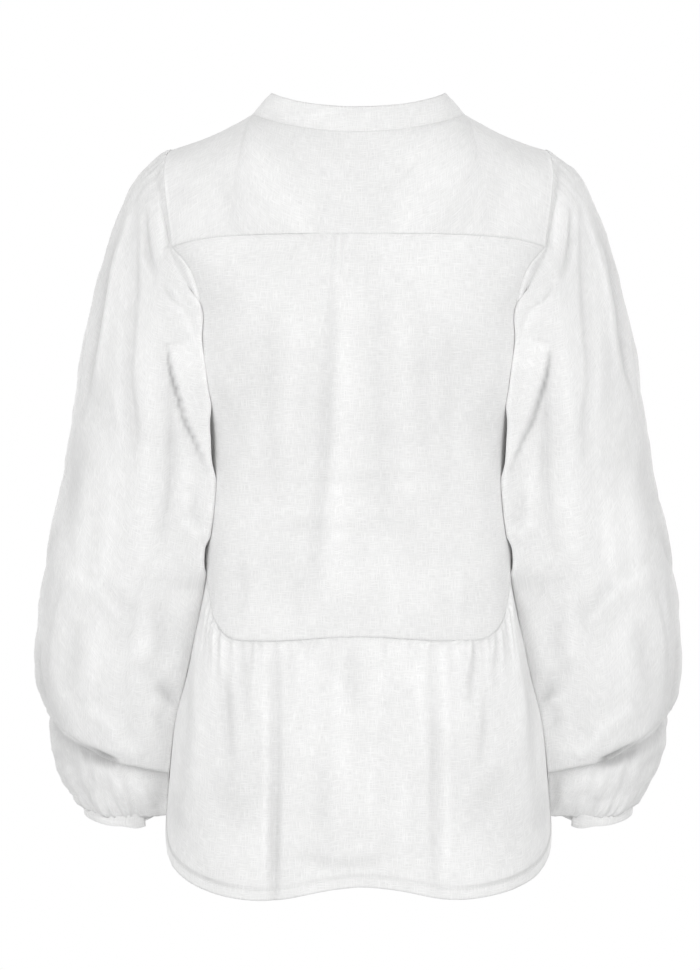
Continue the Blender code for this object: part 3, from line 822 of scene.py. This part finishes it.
def sew(points, closed, reach, distance, thickness):
    """A line of stitches on a grid, where reach, which changes down its columns, is a distance."""
    out = normals(points, closed)
    surface = points + out * thickness / 2
    rows = np.arange(len(points), dtype=float)
    rising = reach[-1, 0] > reach[0, 0]
    line, facing = [], []
    for column in range(points.shape[1]):
        r = reach[:, column] if rising else reach[::-1, column]
        row = np.interp(distance, r, rows if rising else rows[::-1])
        low = min(int(row), len(points) - 2)
        part = row - low
        line.append(surface[low, column] * (1 - part) + surface[low + 1, column] * part)
        facing.append(out[low, column])
    sew_line(np.array(line), np.array(facing))


STITCH_PITCH, STITCH_LENGTH, STITCH_HALF_WIDTH = 3.1, 2.3, 0.24
STITCH_SECTION = (-1.0, 0.0), (0.0, 0.26), (1.0, 0.0), (0.0, -0.2)  # half widths aside, mm up
STITCH = (
    # lengths along, half widths aside, mm up: its start, two sections of it, and its end
    (-0.5, 0.0, -0.25),
    *[(along_it, aside, up) for along_it in (-0.3, 0.3) for aside, up in STITCH_SECTION],
    (0.5, 0.0, -0.25),
)


def sew_line(line, facing):
    """Stitches along a line of points, each a short thread that dips into the cloth at its ends."""
    run = np.concatenate([[0.0], np.cumsum(np.linalg.norm(np.diff(line, axis=0), axis=1))])
    at = np.arange(STITCH_PITCH / 2, run[-1] - STITCH_PITCH / 2, STITCH_PITCH)

    def read(values, where):
        return np.stack([np.interp(where, run, values[:, i]) for i in range(3)], axis=-1)

    middle, up = read(line, at), read(facing, at)
    ahead = read(line, at + STITCH_LENGTH / 2) - read(line, at - STITCH_LENGTH / 2)
    ahead /= np.linalg.norm(ahead, axis=-1, keepdims=True)
    up -= ahead * np.sum(up * ahead, axis=-1, keepdims=True)
    up /= np.linalg.norm(up, axis=-1, keepdims=True)
    aside = np.cross(ahead, up)
    for s, a, h in STITCH:
        stitches.append(middle + ahead * s * STITCH_LENGTH + aside * (a * STITCH_HALF_WIDTH) + up * h)


def stitch_mesh(material):
    """All the sewing on the blouse as one piece."""
    per = len(STITCH)
    blocks = [np.stack(stitches[i:i + per], axis=1) for i in range(0, len(stitches), per)]
    vertices = np.concatenate(blocks).reshape(-1, 3) * MM
    faces = []
    for start in range(0, len(vertices), per):
        for i in range(4):
            a, b = start + 1 + i, start + 1 + (i + 1) % 4
            faces += [(start, b, a), (a, b, b + 4, a + 4), (a + 4, b + 4, start + per - 1)]
    mesh = bpy.data.meshes.new("stitches")
    mesh.from_pydata(vertices, [], faces)
    mesh.uv_layers.new(name="cloth")
    mesh.shade_smooth()
    return add("stitches", mesh, material)


# -------------------- linen


SHINE = {"Roughness": 0.92, "Specular IOR Level": 0.25, "Sheen Weight": 0.12, "Sheen Roughness": 0.6}
YARN = {"Scale": 1.0, "Detail": 2.0, "Roughness": 0.6}
THREADS = {"Scale": 0.42, "Distortion": 1.2, "Detail": 1.0, "Detail Scale": 0.5}
SLUB_LENGTH, SLUB_WIDTH = 0.09, 1.3    # how fast a slub changes along its yarn and across, per mm
CLOUD_SIZE = 0.012                     # how fast the cloth's broad cloudiness changes, per mm
WEAVE_SHARE = 0.35                     # how much the plain weave stands out beside the slubs
SLUB_TONE, CLOUD_TONE = 0.75, 0.25     # their shares of the tone
BUMP = {"Strength": 0.7, "Distance": 0.35 * MM}
TONES = (0.40, 0.87), (0.68, 1.065)    # places on the scale of slubs and clouds, and the tone there
# painted shade and highlight: from a deep fold, or a place painted darker, to a high one or one painted
# lighter, in mm of relief
PAINTED_FOLD_SHADE = {"From Min": -8.0, "From Max": 8.0, "To Min": 0.79, "To Max": 1.123}


def linen(name, tone, translucence):
    """Undyed white linen: plain weave with slubs both ways, dull, and a little light through it."""
    material = bpy.data.materials.new(name)
    material.use_nodes = True
    nodes, links = material.node_tree.nodes, material.node_tree.links

    def feed(taker, values):
        """Gives each named input of a node its value, or links it to an output."""
        for key, value in values.items():
            if isinstance(value, bpy.types.NodeSocket):
                links.new(value, taker.inputs[key])
            else:
                taker.inputs[key].default_value = value

    def node(kind, output, values, **settings):
        """Makes a node and gives back one of its outputs."""
        maker = nodes.new("ShaderNode" + kind)
        for key, value in settings.items():
            setattr(maker, key, value)
        feed(maker, values)
        return maker.outputs[output]

    place = node("UVMap", "UV", {}, uv_map="cloth")

    def stretched(kind, scale_x, scale_y, values, **settings):
        scaled = {"Vector": place, "Scale": (scale_x / MM, scale_y / MM, 1.0)}
        return node(kind, "Fac", {"Vector": node("Mapping", "Vector", scaled), **values}, **settings)

    def combine(operation, a, b):
        return node("Math", "Value", {0: a, 1: b}, operation=operation)

    weft = stretched("TexNoise", SLUB_LENGTH, SLUB_WIDTH, YARN)
    warp = stretched("TexNoise", SLUB_WIDTH, SLUB_LENGTH, YARN)
    across, along_it = (stretched("TexWave", 1.0, 1.0, THREADS, bands_direction=way) for way in "XY")
    weave = combine("MULTIPLY", combine("MAXIMUM", across, along_it), WEAVE_SHARE)
    slubs = combine("MAXIMUM", weft, warp)
    normal = node("Bump", "Normal", {"Height": combine("ADD", weave, slubs), **BUMP})

    cloudy = stretched("TexNoise", CLOUD_SIZE, CLOUD_SIZE, YARN)
    mixed = combine("ADD", combine("MULTIPLY", slubs, SLUB_TONE), combine("MULTIPLY", cloudy, CLOUD_TONE))
    ramp = nodes.new("ShaderNodeValToRGB")
    for element, (where, share) in zip(ramp.color_ramp.elements, TONES):
        element.position = where
        element.color = [min(part * share, 1.0) for part in tone] + [1.0]
    feed(ramp, {"Fac": mixed})
    # painted shade and highlight: the base colour is darkened in folds and lightened on ridges, seams and
    # contact lines by this per-point value
    painted_shade_attribute = node("Attribute", "Fac", {}, attribute_name="relief_and_painted_shade")
    shade = node("MapRange", "Result", {"Value": painted_shade_attribute, **PAINTED_FOLD_SHADE})
    colour = node("VectorMath", "Vector", {0: ramp.outputs["Color"], "Scale": shade}, operation="SCALE")
    feed(nodes["Principled BSDF"], {"Base Color": colour, "Normal": normal, **SHINE})

    if translucence:
        through = node("BsdfTranslucent", "BSDF", {"Color": colour, "Normal": normal})
        both = {"Fac": translucence, 1: nodes["Principled BSDF"].outputs["BSDF"], 2: through}
        feed(nodes["Material Output"], {"Surface": node("MixShader", "Shader", both)})
    return material


# -------------------- the pieces


YOKE_ROWS, YOKE_COLUMNS = 76, 200      # how fine each piece's grid is
BACK_TOP_ROWS, BACK_ROWS, BACK_COLUMNS = 40, 132, 232
FRONT_TOP_ROWS, FRONT_ROWS, FRONT_COLUMNS = 42, 104, 156
PEPLUM_ROWS, PEPLUM_COLUMNS = 132, {BACK: 226, FRONT: 170}
SLEEVE_ROWS, SLEEVE_BACK_COLUMNS, SLEEVE_FRONT_COLUMNS = 226, 134, 68
CUFF_ROWS, CUFF_COLUMNS = 16, 150
BAND_ROWS, BAND_COLUMNS = 15, 170
EVEN = 0.5, 0.5        # columns spread evenly
CENTRED = 0.24, 0.42   # the share of the back's width, at its centre, and of the columns in it
BACK_TOP = 0.16        # the share of the back's height that is gathered, where its rows are closer
PEPLUM_CROWDING = 1.12  # how its rows crowd towards the waist
UNDER_SEAM = -0.012    # how far a gathered edge goes up behind its seam, as a share of its height
YOKE_STITCHING, WAIST_STITCHING, CAP_STITCHING = 2.2, 2.4, 3.4  # how far in from the edge
CUFF_STITCHING = 3.4, 1.8              # from its upper edge and its lower one
BAND_STITCHING = 3.6, 2.0              # from its seam and its free edge
HEM_STITCHING = 9.3
HEM_MIDDLE, HEM_HALF_WIDTH, HEM_LINE = 5.0, 4.6, 11.0  # the turned hem and the line above it
HEM_THICKNESS = 0.7


def spread(count, middle_share, middle_part):
    """Places from -1 to 1 with middle_part of them within middle_share of the centre."""
    return np.interp(
        np.linspace(-1.0, 1.0, count),
        [-1.0, -middle_part, middle_part, 1.0],
        [-1.0, -middle_share, middle_share, 1.0],
    )


def mirrored_grid(surface, face, places, steps):
    """A panel over both halves, as a grid whose normals face out."""
    u = np.sort(places) * face
    points = surface(face, np.abs(u)[None, :], np.asarray(steps)[:, None])
    points[..., 0] *= np.sign(u)[None, :]
    return points


def panel_measures(points):
    """How far each point is along its row from the middle, down from the top, up from the lower edge
    and in from the side edges, then how far it is out from under the sleeve, from 0 to 1."""
    middle = points.shape[1] // 2
    run, down = lengths(points, 1), lengths(points, 0)
    edge = np.minimum(run, run[:, -1:] - run)
    return run - run[:, middle:middle + 1], down, down[-1:] - down, edge, fade(edge, UNDER_SLEEVE)


def lift_out(points, amount, closed=False):
    """Moves a grid out of the cloth by an amount at each point."""
    return points + normals(points, closed) * amount[..., None]


def contact_line():
    """Where the left sleeve meets the body as seen from behind, as z and x: at the sleeve's inner
    edge where it lies over the body, and at the body's own edge below that."""
    points = sleeve_point(np.linspace(0.6, 18.0, 349)[:, None], np.linspace(0.5, 1.05, 221)[None, :])
    x, z = seen(points)
    x[points[..., 1] < GAPE_FLOOR] = np.inf
    heights = np.arange(CONTACT_TOP, CONTACT_END - CONTACT_STEP, -CONTACT_STEP)
    inner = [x[np.abs(z - height) < 2.0].min(initial=np.inf) for height in heights]
    side = body_side(np.zeros(len(heights)), heights) + SIDE_CLEARANCE
    return np.stack([heights, np.minimum(np.array(inner) + CONTACT_INSIDE, side)], axis=-1)


CONTACT_LINE = contact_line()


def contact_painted_light(points, onto):
    """How much painted light lightens the tone close to the line where a sleeve lies against the body,
    where shade would fall: on the body (onto 1) from the line inwards, on the sleeve (onto -1) more
    tightly from the line outwards."""
    x, z = seen(points)
    reach = CONTACT_REACH if onto > 0 else CONTACT_REACH / 3
    past = onto * (along(CONTACT_LINE, 1, z) - np.abs(x)) / reach
    return CONTACT_PAINTED_LIGHT * np.exp(-np.clip(past, 0.0, None)) * fade(CONTACT_TOP + 14.0 - z, 30.0)


def unevenness(across, down, seed):
    """The cloth's own small unevenness."""
    broad = rumple(across, down, 46.0, seed) * 0.9
    middle = rumple(across * 1.2, down, 19.0, seed + 1) * 0.30
    return broad + middle + rumple(across, down, 7.0, seed + 2) * 0.07


def back_yoke(linen_cloth):
    """The back yoke, which laps the gathered back and is stitched along its seam."""
    steps = np.linspace(0.0, 1.0, YOKE_ROWS)
    points = mirrored_grid(upper_point, BACK, spread(YOKE_COLUMNS, *EVEN), steps)
    across, down, up, edge, inside = panel_measures(points)
    lift = creases(*seen(points), YOKE_CREASES) * fade(down, 12.0)
    lift += unevenness(across, down, 11) * 0.5 * fade(down, 14.0) * fade(edge, 10.0)
    lift += gathers(across, up, "yoke seam", 12) * fade(edge, 8.0)
    lift += gathers(across, down, "yoke top", 13) * fade(down, 3.0)
    lift += 0.6 * (1.0 - fade(up, 4.0)) * (1.0 - 0.8 * fade(np.abs(across) - 90.0, 40.0))
    points = lift_out(points, lift)
    sew(points, False, up, YOKE_STITCHING, CLOTH)
    # painted shade and light: the colour follows the yoke's folds at twice their height, with painted
    # light beside the armhole seam
    relief_and_painted_shade = lift * 2.0 + SEAM_PAINTED_LIGHT * (1.0 - fade(edge, 5.0))
    return shell("back_yoke", points, CLOTH, False, linen_cloth, relief_and_painted_shade)


def back_bodice(linen_cloth):
    """The back, gathered into the yoke at its centre."""
    top = np.linspace(0.0, BACK_TOP, BACK_TOP_ROWS)[:-1]
    steps = np.concatenate([[UNDER_SEAM], top, np.linspace(BACK_TOP, 1.0, BACK_ROWS)])
    points = mirrored_grid(lower_point, BACK, spread(BACK_COLUMNS, *CENTRED), steps)
    across, down, up, edge, inside = panel_measures(points)
    relief_and_painted_shade = creases(*seen(points), BACK_CREASES) * fade(down, 10.0) * inside
    centre = unit(1.25 - np.abs(across) / 44.0)
    relief_and_painted_shade += gathers(across, down - 3.0, "back centre", 22) * centre * fade(down - 3.0, 5.0)
    lift = relief_and_painted_shade + unevenness(across, down, 21) * 0.8 * inside * fade(down, 8.0)
    lift += gathers(across, down - 2.0, "back top", 23) * fade(edge, 10.0)
    lift += gathers(across, up, "back waist", 24) * inside
    lift += 0.4 * (1.0 - fade(up, 4.0)) * fade(edge, 30.0) - 0.9 * (1.0 - fade(down, 5.0))
    points = lift_out(points, lift)
    sew(points, False, up, WAIST_STITCHING, CLOTH)
    # painted shade and highlight from the creases, capped on ridges, and painted light where the sleeve
    # lies against the back
    relief_and_painted_shade = np.minimum(relief_and_painted_shade, BODY_HIGHLIGHT_CEILING) + contact_painted_light(points, 1)
    return shell("back_bodice", points, CLOTH, False, linen_cloth, relief_and_painted_shade)


def front_bodice(linen_cloth):
    """The front, in one piece from the V and the shoulder seams to the waist."""
    places = spread(FRONT_COLUMNS, *EVEN)
    upper = mirrored_grid(upper_point, FRONT, places, np.linspace(0.0, 1.0, FRONT_TOP_ROWS)[:-1])
    lower = mirrored_grid(lower_point, FRONT, places, np.linspace(0.0, 1.0, FRONT_ROWS))
    points = np.concatenate([upper, lower])
    across, down, up, edge, inside = panel_measures(points)
    relief_and_painted_shade = creases(*seen(points), FRONT_CREASES) * fade(down, 12.0) * inside
    lift = relief_and_painted_shade + unevenness(across, down, 31) * inside * fade(down, 12.0)
    lift += gathers(across, up, "front waist", 32) * inside
    lift += 0.4 * (1.0 - fade(up, 4.0)) * fade(edge, 30.0)
    points = lift_out(points, lift)
    sew(points, False, up, WAIST_STITCHING, CLOTH)
    # painted shade and highlight from the creases, capped on ridges, and painted light where the sleeve
    # lies against the front
    relief_and_painted_shade = np.minimum(relief_and_painted_shade, BODY_HIGHLIGHT_CEILING) + contact_painted_light(points, 1)
    return shell("front_bodice", points, CLOTH, False, linen_cloth, relief_and_painted_shade)


def peplum(face, table, seed, linen_cloth):
    """One half of the gathered skirt, with its turned and stitched hem."""
    steps = np.concatenate([[UNDER_SEAM], np.linspace(0.0, 1.0, PEPLUM_ROWS) ** PEPLUM_CROWDING])
    points = mirrored_grid(peplum_point, face, np.linspace(-1.0, 1.0, PEPLUM_COLUMNS[face]), steps)
    if face == BACK:
        x, _ = seen(points[-1])
        share = unit(steps)[:, None] ** 3
        points[..., 2] -= along(HEM_WAVE, 1, x)[None, :] * share
    across, down, up, edge, inside = panel_measures(points)
    full = PEPLUM_FULLNESS * np.sin(pi * unit(steps))[:, None] * inside
    relief_and_painted_shade = creases(*seen(points), table) * fade(down, 10.0)
    relief_and_painted_shade += gathers(across, down - 2.5, "peplum, fine", seed + 4) * fade(down, 7.0)
    relief_and_painted_shade += gathers(across, down - 2.5, "peplum, broad", seed + 5) * fade(down, 10.0)
    relief_and_painted_shade *= inside
    lift = full + relief_and_painted_shade + unevenness(across, down, seed) * 1.2 * inside * fade(down, 8.0)
    lift -= 0.6 * (1.0 - fade(down, 5.0))
    lift += gathers(across, up, "hem", seed + 6) * fade(edge, 8.0)
    turned = 1.0 - fade(np.abs(up - HEM_MIDDLE) - HEM_HALF_WIDTH, 1.6)
    lift += 0.3 * turned - 0.35 * np.exp(-(((up - HEM_LINE) / 1.3) ** 2))
    points = lift_out(points, lift)
    thickness = CLOTH + HEM_THICKNESS * turned
    sew(points, False, up, HEM_STITCHING, CLOTH + 0.9)
    name = "peplum_back" if face == BACK else "peplum_front"
    # painted shade along the line above the turned hem, darker towards the sides
    hem_line_painted_shade = 3.5 + 7.0 * fade(np.abs(across) - 80.0, 60.0)
    relief_and_painted_shade -= hem_line_painted_shade * np.exp(-(((up - HEM_LINE) / 1.6) ** 2))
    # painted highlight on ridges up to a ceiling, and painted light where the sleeve lies against the
    # peplum
    relief_and_painted_shade = np.minimum(relief_and_painted_shade, PEPLUM_HIGHLIGHT_CEILING) + contact_painted_light(points, 1)
    return shell(name, points, thickness, False, linen_cloth, relief_and_painted_shade)


def even_turns(count, start, end):
    """Places round the sleeve, evenly spaced along its section half way down, the last one left out."""
    fine = np.linspace(start, end, 2000)
    run = lengths(sleeve_ring(np.full(fine.shape, MIDDLE_ROW), fine)[:, None], 0)[:, 0]
    return np.interp(np.linspace(0.0, run[-1], count + 1)[:-1], run, fine)


def tube_rows(count, start, end):
    """Rows of the sleeve's table, evenly spaced along its back."""
    fine = np.linspace(start, end, 600)
    back = sleeve_point(fine, np.full(fine.shape, 0.5))
    outer = sleeve_point(fine, np.full(fine.shape, 0.15))
    run = (lengths(back[:, None], 0)[:, 0] + lengths(outer[:, None], 0)[:, 0]) / 2
    return np.interp(np.linspace(0.0, run[-1], count), run, fine)


def sleeve(name, side, seed, linen_cloth):
    """A balloon sleeve: a gathered cap, long folds, and its lower end blousing over the cuff."""
    rows = tube_rows(SLEEVE_ROWS, 0.0, float(len(SLEEVE)))
    behind, ahead = even_turns(SLEEVE_BACK_COLUMNS, 0.0, 1.0), even_turns(SLEEVE_FRONT_COLUMNS, 1.0, 2.0)
    turn = np.concatenate([behind, ahead])[::-1]
    points = sleeve_point(rows[:, None], turn[None, :])
    start = 1.0 - fade(rows, 0.6)[:, None, None]
    points += point(-SEAM_TUCK, 0.0, 0.0) * start

    run = lengths(sleeve_ring(np.array([1.5]), turn)[None], 1)[0]
    place = np.interp(turn, turn[::-1], run[-1] - run[::-1])
    at = np.where(turn > 1.0, place - place.max(), place)[None, :] * np.ones((len(rows), 1))
    down = lengths(points, 0)
    up = down[-1:] - down
    around = lengths(points, 1)

    x, z = seen(points)
    outward, facing = np.moveaxis(normals(points, True), -1, 0)[:2]
    tables = SLEEVE_CREASES, SLEEVE_FRONT_CREASES, SLEEVE_SIDE_CREASES
    if side < 0:
        tables = [other_side(table, seed) for table in tables]
    lift = creases(x, z, tables[0]) * unit(0.35 + 2.2 * facing)
    lift += creases(x, z, tables[1]) * unit(0.35 - 2.2 * facing)
    lift += creases(points[..., 1], points[..., 2], tables[2]) * unit(2.0 * outward - 0.7)
    apart = points[..., 0] - body_side(points[..., 1], points[..., 2])
    free = np.where(points[..., 2] < CHEST_EDGE_Z, fade(apart - 1.5, 12.0), 1.0)
    # painted shade and light that follow the sleeve's creases, kept in full near the body where the
    # creases themselves flatten
    folds_and_painted_shade = lift * fade(down, 14.0)
    lift = folds_and_painted_shade * free

    top = unit(1.3 - np.abs(at) / 75.0)
    lift += gathers(at, down - 1.0, "cap top", seed + 3) * top
    lift += gathers(at, down - 1.0, "cap", seed + 4)
    wrist = around / around[:, -1:] * WRIST
    lift += gathers(wrist, up - 1.0, "wrist, fine", seed + 5)
    lift += gathers(wrist, up - 1.0, "wrist, broad", seed + 6)
    loose = fade(down, 10.0) * fade(up, 12.0) * free
    lift += unevenness(around, down, seed) * 1.3 * loose
    sideways = unit(1.2 - 1.6 * np.abs(facing)) * loose
    lift += rumple(around, down * 0.35, 5.0, seed + 7) * 0.8 * sideways
    # painted highlights on ridges up to a ceiling, and painted light along the contact with the body, on
    # the sleeve's back and below the armpit
    painted_light_mask = np.maximum(fade(points[..., 1] + 20.0, 20.0), fade(ARMPIT_Z - points[..., 2], 30.0))
    folds_and_painted_shade = np.minimum(folds_and_painted_shade, SLEEVE_HIGHLIGHT_CEILING) + contact_painted_light(points, -1) * painted_light_mask
    # painted light beside the cap's armhole seam
    folds_and_painted_shade += SEAM_PAINTED_LIGHT * (1.0 - fade(down, 6.0))
    points = lift_out(points, lift, closed=True)
    kept = clear_of_body(points, SLEEVE_GAP)
    points += (kept - points) * fade(down, 20.0)[..., None]
    points[..., 0] *= side
    if side < 0:
        points, folds_and_painted_shade, turn = points[:, ::-1], folds_and_painted_shade[:, ::-1], turn[::-1]
    sew(points, True, lengths(points, 0), CAP_STITCHING, CLOTH)
    grain = int(np.argmin(np.abs(turn - 0.5)))
    return shell(name, points, CLOTH, True, linen_cloth, folds_and_painted_shade, grain)


def cuff(name, side, linen_cloth):
    """The narrow wrist band, lapped behind, with a row of stitches along each edge."""
    end = len(SLEEVE) - 1.0
    turn = np.linspace(CUFF_LAP_PLACE, CUFF_LAP_PLACE + 2.0 + CUFF_LAP, CUFF_COLUMNS)
    ring = sleeve_ring(np.full(turn.shape, end), turn % 2.0)
    centre = ring.mean(axis=0)
    away = ring - centre
    away /= np.linalg.norm(away, axis=-1, keepdims=True)
    outer = sleeve_ring(np.array(end), np.array(0.0)) - sleeve_ring(np.array(end), np.array(1.0))
    fall = np.array([outer[2], 0.0, -outer[0]])
    fall /= np.linalg.norm(fall)
    over = fade(turn - CUFF_LAP_PLACE - 2.0 + CUFF_LAP, CUFF_LAP * 1.6)
    drop = np.linspace(-1.5, CUFF_HEIGHT, CUFF_ROWS)
    points = ring[None] + fall * drop[:, None, None] + away * (0.8 + 1.7 * over)[None, :, None]
    points = points + fall * (CUFF_LAP_DROP * over)[None, :, None] * unit(drop / 4.0)[:, None, None]
    points += away * (0.5 * np.sin(pi * unit(drop / CUFF_HEIGHT)))[:, None, None]
    if side > 0:
        points = points[:, ::-1]
    points[..., 0] *= side
    down = lengths(points, 0)
    up = down[-1:] - down
    lift = rumple(lengths(points, 1), down, 9.0, 71) * 0.25
    points = lift_out(points, lift)
    for reach, distance in zip((down, up), CUFF_STITCHING):
        sew(points, False, reach, distance, DOUBLE)
    return shell(name, points, DOUBLE, False, linen_cloth)


def neck_band(linen_cloth):
    """The collar: a band that stands on the back neck seam and lies flat round the V in front."""
    half = np.linspace(0.0, 2.0, BAND_COLUMNS)
    base = np.where(
        (half <= 1.0)[:, None],
        neck_point(FRONT, unit(half)),
        neck_point(BACK, unit(2.0 - half)),
    )
    lean, back, rise = (along(BAND, i, half) for i in (1, 2, 3))
    width = point(-lean, back, rise)
    share = np.linspace(-0.05, 1.0, BAND_ROWS)
    left = base[None] + width[None] * share[:, None, None]
    right = left[:, -2:0:-1] * np.array([-1.0, 1.0, 1.0])
    points = np.concatenate([left, right], axis=1)
    around, up = lengths(points, 1), lengths(points, 0)
    down = up[-1:] - up
    lift = 0.7 * np.sin(pi * unit(share))[:, None] + 0.35 * (1.0 - fade(up, 4.0))
    lift = lift + rumple(around, up, 17.0, 61) * 0.5 * fade(up, 8.0)
    lift = lift + rumple(around, up, 6.0, 62) * 0.12
    points = lift_out(points, lift, closed=True)
    for reach, distance in zip((up, down), BAND_STITCHING):
        sew(points, True, reach, distance, DOUBLE)
    return shell("neck_band", points, DOUBLE, True, linen_cloth)


WHITE, THREAD_WHITE = (0.845, 0.845, 0.842), (0.87, 0.87, 0.865)
LIGHT_THROUGH, LIGHT_THROUGH_DOUBLE = 0.2, 0.18
plain = linen("linen", WHITE, LIGHT_THROUGH)
plain_double = linen("linen_double", WHITE, LIGHT_THROUGH_DOUBLE)
thread = linen("linen_thread", THREAD_WHITE, 0.0)

UPPER_BODY = ["back_yoke", "front_bodice"]
PIECES = (
    # each piece, the cut of what shows of it, as width, length and area in metres, how it is held,
    # and what it hangs from
    (back_yoke(plain), 0.43, 0.16, 0.052, "draped", ["front_bodice"]),
    (back_bodice(plain), 0.53, 0.37, 0.152, "gathered", ["back_yoke"]),
    (front_bodice(plain), 0.50, 0.48, 0.176, "hung", ["back_yoke"]),
    (peplum(BACK, PEPLUM_CREASES, 41, plain), 0.58, 0.26, 0.138, "gathered", ["back_bodice"]),
    (peplum(FRONT, PEPLUM_FRONT_CREASES, 51, plain), 0.58, 0.26, 0.140, "gathered", ["front_bodice"]),
    *[(sleeve("sleeve_" + name, side, seed, plain), 0.52, 0.64, 0.285, "gathered", UPPER_BODY)
      for name, side, seed in (("left", 1.0, 81), ("right", -1.0, 91))],
    *[(cuff("cuff_" + name, side, plain_double), 0.27, 0.011, 0.0028, "gathered", ["sleeve_" + name])
      for name, side in (("left", 1.0), ("right", -1.0))],
    (neck_band(plain_double), 0.72, 0.032, 0.0190, "folded", UPPER_BODY),
)
stitch_mesh(thread)


def soft_box(name, place, energy):
    """A large round soft light that faces the blouse."""
    data = bpy.data.lights.new(name, "AREA")
    data.shape = "DISK"
    data.size = SOFT_BOX_SIZE
    data.energy = energy
    light = bpy.data.objects.new(name, data)
    bpy.context.scene.collection.objects.link(light)
    light.location = place
    light.visible_camera = False
    toward = -light.location
    toward.z += CAMERA_Z * MM
    light.rotation_euler = toward.to_track_quat("-Z", "Y").to_euler()


def white_surface(name, thing):
    """Makes a floor or backdrop evenly white to the camera, without lighting the blouse."""
    thing.name = name
    material = bpy.data.materials.new(name)
    material.use_nodes = True
    shader = material.node_tree.nodes["Principled BSDF"]
    shader.inputs["Base Color"].default_value = (0.0, 0.0, 0.0, 1.0)
    shader.inputs["Specular IOR Level"].default_value = 0.0
    shader.inputs["Emission Color"].default_value = (1.0, 1.0, 1.0, 1.0)
    shader.inputs["Emission Strength"].default_value = 1.0
    thing.data.materials.append(material)
    for ray in ("diffuse", "glossy", "transmission", "shadow"):
        setattr(thing, "visible_" + ray, False)


def studio():
    """A white floor and backdrop, soft light from the camera's side and the other, and the camera."""
    scene = bpy.context.scene
    world = bpy.data.worlds.new("studio")
    world.use_nodes = True
    world.node_tree.nodes["Background"].inputs["Color"].default_value = (1.0, 1.0, 1.0, 1.0)
    world.node_tree.nodes["Background"].inputs["Strength"].default_value = AMBIENT
    scene.world = world
    bpy.ops.mesh.primitive_circle_add(
        vertices=96, radius=BACKDROP_RADIUS, fill_type="NGON", location=(0, 0, FLOOR_Z * MM)
    )
    white_surface("floor", bpy.context.object)
    bpy.ops.mesh.primitive_uv_sphere_add(segments=48, ring_count=24, radius=BACKDROP_RADIUS)
    white_surface("backdrop", bpy.context.object)
    for name, place, energy in SOFT_BOXES:
        soft_box(name, place, energy)
    camera = bpy.data.objects.new("camera", bpy.data.cameras.new("camera"))
    scene.collection.objects.link(camera)
    scene.camera = camera
    camera.location = (CAMERA_X * MM, CAMERA_REACH * MM, CAMERA_Z * MM)
    camera.rotation_euler = (pi / 2, 0.0, pi)
    camera.data.sensor_width = SENSOR
    camera.data.lens = SENSOR * CAMERA_REACH / VIEW_HEIGHT
    scene.view_settings.view_transform = "Standard"
    scene.cycles.diffuse_bounces = DIFFUSE_BOUNCES


studio()
